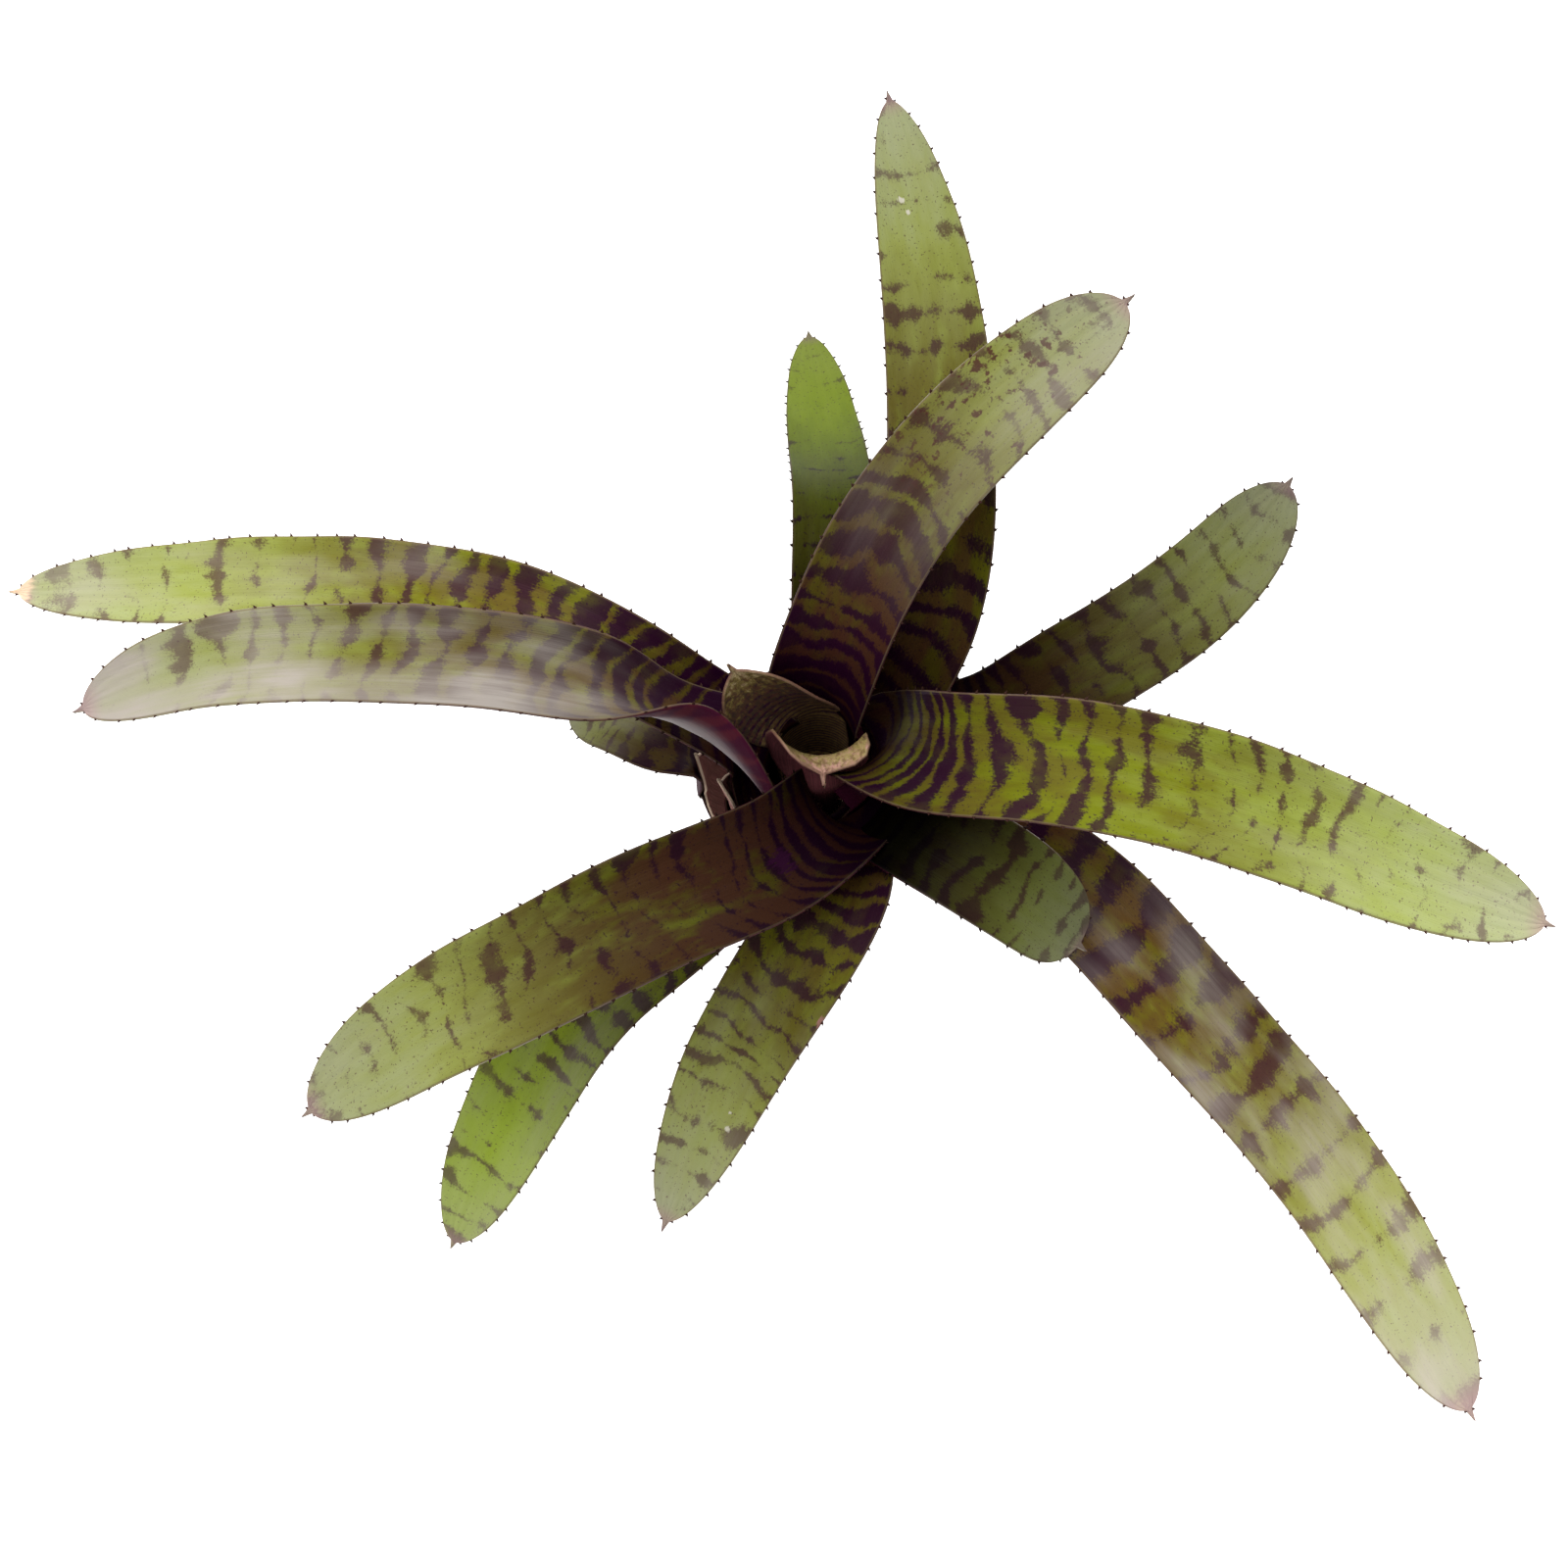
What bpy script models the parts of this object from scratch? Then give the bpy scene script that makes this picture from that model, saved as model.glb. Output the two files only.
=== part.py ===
"""A neoregelia bromeliad cut from its roots: a short stem and a spiral of strap leaves.

Lengths are in millimetres until a mesh is made. +Z is up, the stem's cut foot stands at the origin.
Every leaf starts at the stem, follows its own layer of the urn that the leaf bases form, leaves the
urn at its mouth and arches out to its tip. Layer 0 is the innermost one.
"""

import math
from typing import NamedTuple

import bmesh
import bpy
import numpy as np
from mathutils import Vector

MM = 0.001
UP = np.array((0.0, 0.0, 1.0))

# Stem
STEM_RADIUS = 7.0
STEM_FOOT_RADIUS = 9.5
STEM_FOOT_HEIGHT = 14.0
STEM_TOP = 48.0
STEM_DOME = 3.0
STEM_DOME_STEPS = 3
STEM_FOOT_CHAMFER = 0.8
SCAR_STEP = 5.0
SCAR_DEPTH = 0.5
SCAR_HALF_HEIGHT = 0.9
STEM_SIDES = 20
MERGE_DISTANCE = 0.00001

# Urn of nested leaf bases
LAYER_PITCH = 1.6
BELLY_CENTRE_R = 4.0
BELLY_CENTRE_Z = 50.0
INNER_BELLY_RADIUS = 4.0
FLOOR_ANGLE = math.radians(50.0)
SHORTEST_FLOOR = 0.5
WALL_ANGLE = math.radians(3.0)
STEM_GAP = 0.75
CLASP_ANGLE = math.radians(72.0)
SHEATH_HALF_WIDTH = 24.0

# Blades
SHEATH_THICKNESS = 0.9
BLADE_THICKNESS = 1.1
MARGIN_SHARE = 0.64
COLUMNS = 6
ARC_STATIONS = 3
WALL_STATIONS = 2
BLADE_STATIONS = 14
TIP_CROWDING = 1.4
CURVE_SAMPLES = 240
MOUTH_BLEND = 22.0
NARROWING_AHEAD = 1.0
BLADE_FORM_AHEAD = 0.8
NECK_SHARE = 0.35
CUP_SHARE = 0.22
UPRIGHT_FACING = 4.0
ROLL_AT_SHARE = 0.155
ROLL_SHARE = 0.11
TIP_EXPONENT = 0.6
MUCRO_LENGTH = 4.0
MUCRO_HALF_WIDTH = 0.9
SHARP_ANGLE = math.radians(50.0)

# Spines on the margins
SPINE_SPACING = 11.0
SPINE_LENGTH = 1.3
SPINE_HALF_BASE = 0.9
SPINE_LEAN = 0.5


class Leaf(NamedTuple):
    """One leaf: its layer and place on the urn, and the way from the mouth to the tip."""

    name: str
    layer: int
    azimuth: float  # degrees, where the base stands on the stem
    mouth: float  # height at which the leaf parts from the urn
    spine: tuple  # (x, y, z) of the midline after the mouth, the last is the tip
    width: float
    cup: float = 24.0  # degrees, half of the gutter's opening arc
    bluntness: float = 7.0
    roll: float = 0.0  # degrees, how far the neck is turned about the midline
    fold: float = 0.0  # degrees that the turned neck adds to the cup
    slot: str = "leaf"
    upright: bool = False  # a small leaf that stands up in or on the urn, with no spines
    neck: float = 0.88  # width where it leaves the urn, as a share of the whole width


LEAVES = (
    Leaf("heart_leaf_front", 0, -92, 84,
         ((-0.8, -6.4, 90), (-1, -4.2, 94), (-0.4, -3.6, 98), (1.4, -12.6, 101)), 30, 56, 12.0, 0, 0,
         "heart", True, 0.58),
    Leaf("heart_leaf_left", 1, 109, 83,
         ((-8.7, 10.4, 93.5), (-16.8, 12.4, 106.5), (-23.5, 16, 118)), 26, 42, 4.0, 0, 0, "heart", True),
    Leaf("leaf_01", 2, 90, 84,
         ((3, 20, 108), (21, 50, 138), (50, 79, 150), (79, 105, 144)), 29, 26, 9.0, neck=1.05),
    Leaf("leaf_04", 3, 198, 80,
         ((-33, 3, 102), (-70, 13, 121), (-120, 19, 113), (-165, 21, 89), (-198, 15, 68)),
         28, 40, 9.0, 70, 38, neck=1.2),
    Leaf("leaf_03", 4, 2, 81,
         ((28, -7, 113), (54, -12, 129), (100, -21, 126), (148, -33, 99), (193, -43, 70)), 34, neck=1.0),
    Leaf("leaf_02", 5, -76, 80,
         ((-9, -31, 106), (-38, -48, 129), (-68, -62, 123), (-98, -74, 103), (-134, -93, 70)), 33, neck=1.0),
    Leaf("leaf_05", 6, -44, 72, ((29, -25, 97), (45, -35, 98), (58, -42, 86), (70, -50, 72)), 29, 24, 9.0),
    Leaf("leaf_06", 7, 37, 70,
         ((27, 30, 103), (31, 62, 117), (30, 105, 111), (19, 186, 80)), 29, 24, 4.0),
    Leaf("leaf_07", 8, -78, 67,
         ((5, -36, 92), (-3, -52, 95), (-20, -76, 71), (-42, -119, 28)), 29, 22, 4.5),
    Leaf("leaf_08", 9, 156, 63,
         ((-36, 15, 88), (-69, 29, 106), (-116, 43, 92), (-174, 53, 56), (-226, 60, 24)), 26, 30),
    Leaf("leaf_09", 10, 20, 60,
         ((42, 9, 80), (66, 18, 98), (88, 32, 98), (127, 78, 76)), 28, 24, 7.0),
    Leaf("dry_scale_2", 10, 190, 53, ((-25, -4, 62), (-26.5, -3, 69)), 11, 40, 2.0, 0, 0, "dry_scale", True),
    Leaf("leaf_10", 11, -128, 57,
         ((-34, -41, 80), (-54, -58, 84), (-76, -83, 60), (-101, -121, 0)), 29, 20, 5.0),
    Leaf("leaf_11", 12, 84, 54, ((3, 38, 74), (4, 62, 84), (3, 88, 60), (-2, 145, 0)), 22, 20, 5.0),
    Leaf("leaf_12", 13, -14, 50,
         ((52, -20, 62), (92, -57, 60), (135, -101, 32), (180, -168, 0)), 31, 20, 10.0),
    Leaf("dry_scale_1", 14, 176, 50, ((-31.5, 3.5, 58), (-32.5, 4.5, 66)), 12, 40, 2.0, 0, 0,
         "dry_scale", True),
    Leaf("leaf_13", 15, 168, 48, ((-40, 11, 60), (-53, 19, 50), (-70, 27, 33)), 25, 20, 6.0, 35, 20),
)

MATERIALS = {
    "leaf": ((0.28, 0.34, 0.07), 0.42),
    "heart": ((0.32, 0.16, 0.13), 0.45),
    "dry_scale": ((0.42, 0.28, 0.17), 0.8),
    "stem": ((0.23, 0.15, 0.09), 0.85),
}


def smoothstep(x):
    x = np.clip(x, 0.0, 1.0)
    return x * x * (3.0 - 2.0 * x)


def unit(vectors):
    return vectors / np.linalg.norm(vectors, axis=-1, keepdims=True)


def sheath_line(leaf):
    """(radius, height) along a leaf base: the urn's sloping floor, its round belly and its wall."""
    belly = INNER_BELLY_RADIUS + leaf.layer * LAYER_PITCH
    start_radius = STEM_RADIUS + STEM_GAP

    def on_arc(angle):
        return (BELLY_CENTRE_R + belly * math.cos(angle), BELLY_CENTRE_Z - belly * math.sin(angle))

    line = []
    arc_start = FLOOR_ANGLE
    floor_end = on_arc(FLOOR_ANGLE)
    if floor_end[0] > start_radius + SHORTEST_FLOOR:
        run = (floor_end[0] - start_radius) / math.sin(FLOOR_ANGLE)
        line.append((start_radius, floor_end[1] - run * math.cos(FLOOR_ANGLE)))
    else:
        arc_start = math.acos(min(1.0, (start_radius - BELLY_CENTRE_R) / belly))
    for i in range(ARC_STATIONS + 1):
        line.append(on_arc(arc_start + (WALL_ANGLE - arc_start) * i / ARC_STATIONS))
    wall_foot = line[-1]
    for i in range(1, WALL_STATIONS + 1):
        z = wall_foot[1] + (leaf.mouth - wall_foot[1]) * i / WALL_STATIONS
        line.append((wall_foot[0] + (z - wall_foot[1]) * math.tan(WALL_ANGLE), z))
    return np.array(line)


def radial(azimuth):
    angle = math.radians(azimuth)
    return np.array((math.cos(angle), math.sin(angle), 0.0))


def spline(points, start_direction):
    """A cubic curve through the points that leaves the first one in the direction given."""
    points = np.array(points, float)
    spans = np.linalg.norm(np.diff(points, axis=0), axis=1)
    knots = np.concatenate(([0.0], np.cumsum(spans)))
    count = len(points)
    system = np.zeros((count, count))
    target = np.zeros((count, 3))
    system[0, 0] = 1.0
    target[0] = start_direction
    for i in range(1, count - 1):
        before, after = spans[i - 1], spans[i]
        system[i, i - 1 : i + 2] = after, 2.0 * (before + after), before
        target[i] = 3.0 * (after * (points[i] - points[i - 1]) / before
                           + before * (points[i + 1] - points[i]) / after)
    system[-1, -2:] = 1.0, 2.0
    target[-1] = 3.0 * (points[-1] - points[-2]) / spans[-1]
    slopes = np.linalg.solve(system, target)
    at = np.linspace(0.0, knots[-1], CURVE_SAMPLES)
    span = np.clip(np.searchsorted(knots, at, side="right") - 1, 0, count - 2)
    length = spans[span][:, None]
    x = (at - knots[span])[:, None] / length
    return ((2 * x**3 - 3 * x**2 + 1) * points[span] + (x**3 - 2 * x**2 + x) * length * slopes[span]
            + (3 * x**2 - 2 * x**3) * points[span + 1] + (x**3 - x**2) * length * slopes[span + 1])


def blade_stations():
    """Shares of the blade's length, closer together towards the tip, and the last before the mucro."""
    steps = np.arange(1, BLADE_STATIONS + 1) / BLADE_STATIONS
    shares = 1.0 - (1.0 - steps) ** TIP_CROWDING
    shares[-1] = 1.0
    return shares


def blade_half_width(leaf, share):
    """Half of the blade's width: narrower at the mouth, rounded off to the mucro at the tip."""
    neck = leaf.neck + (1.0 - leaf.neck) * smoothstep(share / NECK_SHARE)
    outline = leaf.width / 2.0 * neck * (1.0 - share**leaf.bluntness) ** TIP_EXPONENT
    return np.maximum(outline, MUCRO_HALF_WIDTH)


def middle_surface(leaf):
    """Points of the leaf's middle surface, station by station, its apex and the margin's spined cells.

    An upright leaf's upper face is turned towards the stem, and any other leaf's upwards.
    """
    line = sheath_line(leaf)
    out = radial(leaf.azimuth)
    mouth_point = line[-1, 0] * out + line[-1, 1] * UP
    wall_direction = math.sin(WALL_ANGLE) * out + math.cos(WALL_ANGLE) * UP
    curve = spline((mouth_point,) + leaf.spine, wall_direction)
    reach = np.concatenate(([0.0], np.cumsum(np.linalg.norm(np.diff(curve, axis=0), axis=1))))
    blade_length = reach[-1] - MUCRO_LENGTH
    shares = blade_stations()

    sheath_reach = np.concatenate(([0.0], np.cumsum(np.linalg.norm(np.diff(line, axis=0), axis=1))))
    station_reach = np.concatenate((sheath_reach, sheath_reach[-1] + shares * blade_length))
    sheath_count = len(line)
    share = np.concatenate((np.zeros(sheath_count), shares))

    centre = np.array([r * out + z * UP for r, z in line])
    blade_centre = np.stack([np.interp(shares * blade_length, reach, curve[:, k]) for k in range(3)], -1)
    centre = np.concatenate((centre, blade_centre))
    tangents = np.gradient(curve, axis=0)
    blade_tangent = np.stack(
        [np.interp(shares * blade_length, reach, tangents[:, k]) for k in range(3)], -1)
    tangent = unit(np.concatenate((np.tile(wall_direction, (sheath_count, 1)), blade_tangent)))
    side = unit(np.cross(UP - out * UPRIGHT_FACING * leaf.upright, tangent))
    inward = np.cross(tangent, side)
    turned = np.exp(-(((share - ROLL_AT_SHARE) / ROLL_SHARE) ** 2))
    roll = np.radians(leaf.roll) * turned[:, None]
    side, inward = (side * np.cos(roll) + inward * np.sin(roll),
                    inward * np.cos(roll) - side * np.sin(roll))

    radius = np.concatenate((line[:, 0], np.full(len(shares), line[-1, 0])))
    belly_limit = np.minimum(SHEATH_HALF_WIDTH, radius * CLASP_ANGLE)
    narrowing = smoothstep((station_reach - sheath_reach[-1]) / MOUTH_BLEND + NARROWING_AHEAD)
    half_width = belly_limit + (blade_half_width(leaf, share) - belly_limit) * narrowing
    mouth_angle = blade_half_width(leaf, 0.0) / line[-1, 0]
    cup = np.radians(leaf.cup + leaf.fold * turned)
    half_angle = np.where(station_reach <= sheath_reach[-1], half_width / radius,
                          cup + (mouth_angle - cup) * np.exp(-share / CUP_SHARE))

    across = np.linspace(-1.0, 1.0, COLUMNS + 1)[None, :, None]
    swing = half_angle[:, None, None] * across
    bend = (half_width / half_angle)[:, None, None]
    blade = (centre[:, None] + side[:, None] * bend * np.sin(swing)
             + inward[:, None] * bend * (1.0 - np.cos(swing)))
    around = swing + math.radians(leaf.azimuth)
    sheath = np.concatenate((radius[:, None, None] * np.cos(around), radius[:, None, None] * np.sin(around),
                             np.broadcast_to(centre[:, None, 2:], around.shape)), -1)
    on_blade = smoothstep((station_reach - sheath_reach[-1]) / MOUTH_BLEND + BLADE_FORM_AHEAD)[:, None, None]
    on_blade = np.where((np.arange(len(share)) < sheath_count)[:, None, None], on_blade, 1.0)
    surface = sheath + (blade - sheath) * on_blade
    return surface, curve[-1], range(sheath_count - 1, len(share) - 2), share


def thickness(share):
    """Thickness by station and column: the sheath is thinner than the blade, and a margin thinner still."""
    across = np.linspace(-1.0, 1.0, COLUMNS + 1)
    middle = np.where(share > 0.0, BLADE_THICKNESS, SHEATH_THICKNESS)
    return middle[:, None] * (1.0 - (1.0 - MARGIN_SHARE) * across[None, :] ** 2)


def add_fans(bm, top_ring, bottom_ring):
    """Splits a ring into triangles, alike on the upper and the lower face."""
    for i in range(1, len(top_ring) - 1):
        bm.faces.new((top_ring[0], top_ring[i], top_ring[i + 1]))
        bm.faces.new((bottom_ring[0], bottom_ring[i + 1], bottom_ring[i]))


def margin_with_spines(bm, top, bottom, outward, spined):
    """Extra margin points between two stations and the spines on them: (upper points, lower points)."""
    tops, bottoms = [top[0]], [bottom[0]]
    start = (top[0].co + bottom[0].co) / 2.0
    run = (top[1].co + bottom[1].co) / 2.0 - start
    count = round(run.length / (SPINE_SPACING * MM)) if spined else 0
    for k in range(count):
        middle = (k + 0.5) / count
        half = SPINE_HALF_BASE * MM / run.length
        for edge, ends in ((tops, top), (bottoms, bottom)):
            for at in (middle - half, middle + half):
                edge.append(bm.verts.new(ends[0].co.lerp(ends[1].co, at)))
        tip = start + run * middle + (outward + run.normalized() * SPINE_LEAN) * SPINE_LENGTH * MM
        apex = bm.verts.new(tip)
        base = (tops[-2], tops[-1], bottoms[-1], bottoms[-2])
        for i in range(4):
            bm.faces.new((base[i], base[(i + 1) % 4], apex))
    tops.append(top[1])
    bottoms.append(bottom[1])
    for i in range(0, len(tops) - 1, 2):
        bm.faces.new((tops[i], tops[i + 1], bottoms[i + 1], bottoms[i]))
    return tops, bottoms


def leaf_mesh(leaf):
    """The leaf as one closed solid: two faces, a margin wall with spines, a cut base and a pointed mucro."""
    surface, apex_point, spined_cells, share = middle_surface(leaf)
    along = np.gradient(surface, axis=0)
    sideways = np.gradient(surface, axis=1)
    normal = unit(np.cross(along, sideways))
    half = thickness(share)[:, :, None] / 2.0
    bm = bmesh.new()
    top, bottom = ([[bm.verts.new(Vector(p) * MM) for p in row] for row in face]
                   for face in (surface + normal * half, surface - normal * half))
    last = len(top) - 1
    for i in range(last):
        for j in range(1, COLUMNS - 1):
            add_fans(bm, (top[i][j], top[i][j + 1], top[i + 1][j + 1], top[i + 1][j]),
                     (bottom[i][j], bottom[i][j + 1], bottom[i + 1][j + 1], bottom[i + 1][j]))
        spined = not leaf.upright and i in spined_cells
        for edge, inner in ((0, 1), (COLUMNS, COLUMNS - 1)):
            outward = Vector(surface[i, edge] - surface[i, inner]).normalized()
            tops, bottoms = margin_with_spines(
                bm, (top[i][edge], top[i + 1][edge]), (bottom[i][edge], bottom[i + 1][edge]), outward, spined)
            add_fans(bm, [top[i][inner]] + tops + [top[i + 1][inner]],
                     [bottom[i][inner]] + bottoms + [bottom[i + 1][inner]])
    apex = bm.verts.new(Vector(apex_point) * MM)
    for j in range(COLUMNS):
        bm.faces.new((top[0][j], top[0][j + 1], bottom[0][j + 1], bottom[0][j]))
        bm.faces.new((top[last][j], top[last][j + 1], apex))
        bm.faces.new((bottom[last][j], bottom[last][j + 1], apex))
    bm.faces.new((top[last][0], bottom[last][0], apex))
    bm.faces.new((top[last][COLUMNS], bottom[last][COLUMNS], apex))
    bmesh.ops.recalc_face_normals(bm, faces=bm.faces[:])
    mesh = bpy.data.meshes.new(leaf.name)
    bm.to_mesh(mesh)
    bm.free()
    mesh.shade_smooth()
    mesh.set_sharp_from_angle(angle=SHARP_ANGLE)
    return mesh


def material(slot):
    """A Principled material in the slot's colour and roughness."""
    found = bpy.data.materials.get(slot)
    if found:
        return found
    colour, roughness = MATERIALS[slot]
    made = bpy.data.materials.new(slot)
    made.use_nodes = True
    shader = made.node_tree.nodes["Principled BSDF"]
    shader.inputs["Base Color"].default_value = (*colour, 1.0)
    shader.inputs["Roughness"].default_value = roughness
    return made


def placed(name, data, slot, collection):
    made = bpy.data.objects.new(name, data)
    data.materials.append(material(slot))
    collection.objects.link(made)
    return made


def stem_profile():
    """(radius, height) from the domed top down the stem's outer side, ringed by leaf scars, to its foot."""
    profile = []
    for i in range(STEM_DOME_STEPS + 1):
        angle = math.pi / 2.0 * (1.0 - i / STEM_DOME_STEPS)
        profile.append((STEM_RADIUS * math.cos(angle), STEM_TOP - STEM_DOME * (1.0 - math.sin(angle))))
    for ring in range(int((STEM_TOP - STEM_DOME) / SCAR_STEP) - 1, 0, -1):
        z = ring * SCAR_STEP
        radius = STEM_RADIUS + (STEM_FOOT_RADIUS - STEM_RADIUS) * (1.0 - smoothstep(z / STEM_FOOT_HEIGHT))
        profile += [(radius, z + SCAR_HALF_HEIGHT), (radius - SCAR_DEPTH, z), (radius, z - SCAR_HALF_HEIGHT)]
    foot_edge = STEM_FOOT_RADIUS - STEM_FOOT_CHAMFER
    profile += [(STEM_FOOT_RADIUS, STEM_FOOT_CHAMFER), (foot_edge, 0.0), (0.0, 0.0)]
    return profile


def make_stem(collection):
    """The stem, turned from its profile."""
    points = [Vector((radius, 0.0, z)) * MM for radius, z in stem_profile()]
    mesh = bpy.data.meshes.new("stem")
    mesh.from_pydata(points, [(i, i + 1) for i in range(len(points) - 1)], [])
    stem = placed("stem", mesh, "stem", collection)
    turned = stem.modifiers.new("turned", "SCREW")
    turned.steps = STEM_SIDES
    turned.render_steps = STEM_SIDES
    turned.use_merge_vertices = True
    turned.merge_threshold = MERGE_DISTANCE


def main():
    for old in list(bpy.data.objects):
        bpy.data.objects.remove(old)
    collection = bpy.data.collections.new("neoregelia_bromeliad")
    bpy.context.scene.collection.children.link(collection)
    make_stem(collection)
    for leaf in LEAVES:
        placed(leaf.name, leaf_mesh(leaf), leaf.slot, collection)


main()
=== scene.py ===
"""The looks of a neoregelia bromeliad cut from its roots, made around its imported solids.

Each leaf is made again on its solid's own form, in millimetres, with the full count of margin spines,
fine grooves and a slight waver. Its paint is worked out from the place on the leaf: how far along from
the urn's mouth, how far across, how near the margin, and which face.
"""

import math
from typing import NamedTuple

import bpy
import numpy as np
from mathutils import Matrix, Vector


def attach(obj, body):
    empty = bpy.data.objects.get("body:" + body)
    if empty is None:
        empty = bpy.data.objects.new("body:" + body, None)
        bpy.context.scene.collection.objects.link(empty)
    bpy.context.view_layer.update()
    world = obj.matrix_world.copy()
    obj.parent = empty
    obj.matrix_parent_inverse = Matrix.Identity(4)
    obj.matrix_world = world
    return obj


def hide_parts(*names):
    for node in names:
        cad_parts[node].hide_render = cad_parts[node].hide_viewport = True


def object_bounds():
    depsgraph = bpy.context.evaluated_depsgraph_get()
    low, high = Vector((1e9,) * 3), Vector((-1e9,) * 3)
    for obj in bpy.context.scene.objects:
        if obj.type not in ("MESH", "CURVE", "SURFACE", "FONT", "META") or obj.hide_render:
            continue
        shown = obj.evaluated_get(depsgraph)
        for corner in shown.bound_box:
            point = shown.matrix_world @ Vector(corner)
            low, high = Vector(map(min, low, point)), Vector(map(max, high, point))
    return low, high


MM = 0.001
UP = np.array((0.0, 0.0, 1.0))

# The urn of nested leaf bases, as in the solids
STEM_RADIUS = 7.0
STEM_GAP = 0.75
LAYER_PITCH = 1.6
BELLY_CENTRE_R = 4.0
BELLY_CENTRE_Z = 50.0
INNER_BELLY_RADIUS = 4.0
FLOOR_ANGLE = math.radians(50.0)
SHORTEST_FLOOR = 0.5
WALL_ANGLE = math.radians(3.0)
CLASP_ANGLE = math.radians(72.0)
SHEATH_HALF_WIDTH = 24.0

# Blades, as in the solids
SHEATH_THICKNESS = 0.9
BLADE_THICKNESS = 1.1
THICKENING_LENGTH = 20.0
MARGIN_SHARE = 0.64  # thickness at the margin, against the middle
MOUTH_BLEND = 22.0  # length below the mouth over which a sheath turns into a blade
NECK_SHARE = 0.35  # share of the blade over which it widens from its neck
CUP_SHARE = 0.22  # share of the blade over which it opens from the urn's round to its own cup
UPRIGHT_FACING = 4.0  # how much the hollow side of an upright leaf faces the centre
ROLL_AT_SHARE = 0.155  # where on its blade a rolled leaf is turned most
ROLL_SHARE = 0.11  # how far to both sides of that place the roll reaches
TIP_EXPONENT = 0.6
MUCRO_LENGTH = 4.0
MUCRO_HALF_WIDTH = 0.9

# How finely the leaves are made
COLUMNS = 28
ARC_STATIONS = 12
WALL_STATIONS = 8
STATION_SPACING = 1.9
MUCRO_STATIONS = 5
TIP_CROWDING = 1.3
CURVE_SAMPLES = 600

# Waver and grooves, which begin past the mouth and fade where the leaf is narrow
WAVER_HEIGHT = 0.45
WAVER_LENGTH = 41.0
WAVER_PHASE_PER_LAYER = 1.7
WAVER_PHASE_PER_SIDE = 1.9
WAVER_MARGIN_EXPONENT = 3
WAVER_TIP_EXPONENT = 6
GROOVE_DEPTH = 0.22
GROOVE_HALF_WIDTH = 0.055
GROOVES = (-0.62, -0.3, 0.0, 0.3, 0.62)
RELIEF_START_LENGTH = 30.0
RELIEF_HALF_WIDTH = 6.0

# Margin spines: small hooked cones on a sunken base, with a narrower knee on the way to the tip
SPINE_SPACING = 7.2
SPINE_SHIFT = 0.16
SPINE_SHIFT_STEP = 2.4
SPINE_STATIONS_IN_URN = 3  # how many stations below the mouth the spines begin
SPINE_SIDES = 5
SPINE_LENGTH = 1.05
SPINE_LEAN = 0.6
SPINE_SINK = 0.35
SPINE_BASE = 0.75
SPINE_BASE_HEIGHT = 0.28
SPINE_KNEE_AT = 0.45
SPINE_KNEE_LEAN = 0.35
SPINE_KNEE_SHARE = 0.42
SPINE_KNEE_HEIGHT = 0.18

# The view: looking down, a little from the near side
VIEW_TILT = math.radians(12.0)
VIEW_DISTANCE = 950.0
VIEW_AIM = (-9.0, -9.0, 90.0)
FRAME_WIDTH = 405.0
SENSOR_WIDTH = 36.0

# Floor, lamps and surround, in metres and watts
FLOOR_HALF_WIDTH = 3.0
FLOOR_WHITE = (0.9, 0.9, 0.9)
FLOOR_ROUGHNESS = 0.9
FLOOR_SPECULAR = 0.1
FLOOR_GLOW = 1.0
LAMP_AIM = (0.0, 0.0, 0.09)
SURROUND_STRENGTH = 0.45
WHITE = (1.0, 1.0, 1.0)

# What every point of a leaf knows about its place on it
PLACE_LABELS = ("along", "across", "share", "edge", "under", "spine")


class Leaf(NamedTuple):
    """One leaf: its layer and place on the urn, and the way from the mouth to the tip."""

    name: str
    layer: int
    azimuth: float
    mouth: float
    spine: tuple
    width: float
    cup: float = 24.0
    bluntness: float = 7.0
    roll: float = 0.0
    fold: float = 0.0
    slot: str = "leaf"
    upright: bool = False
    neck: float = 0.88


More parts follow.
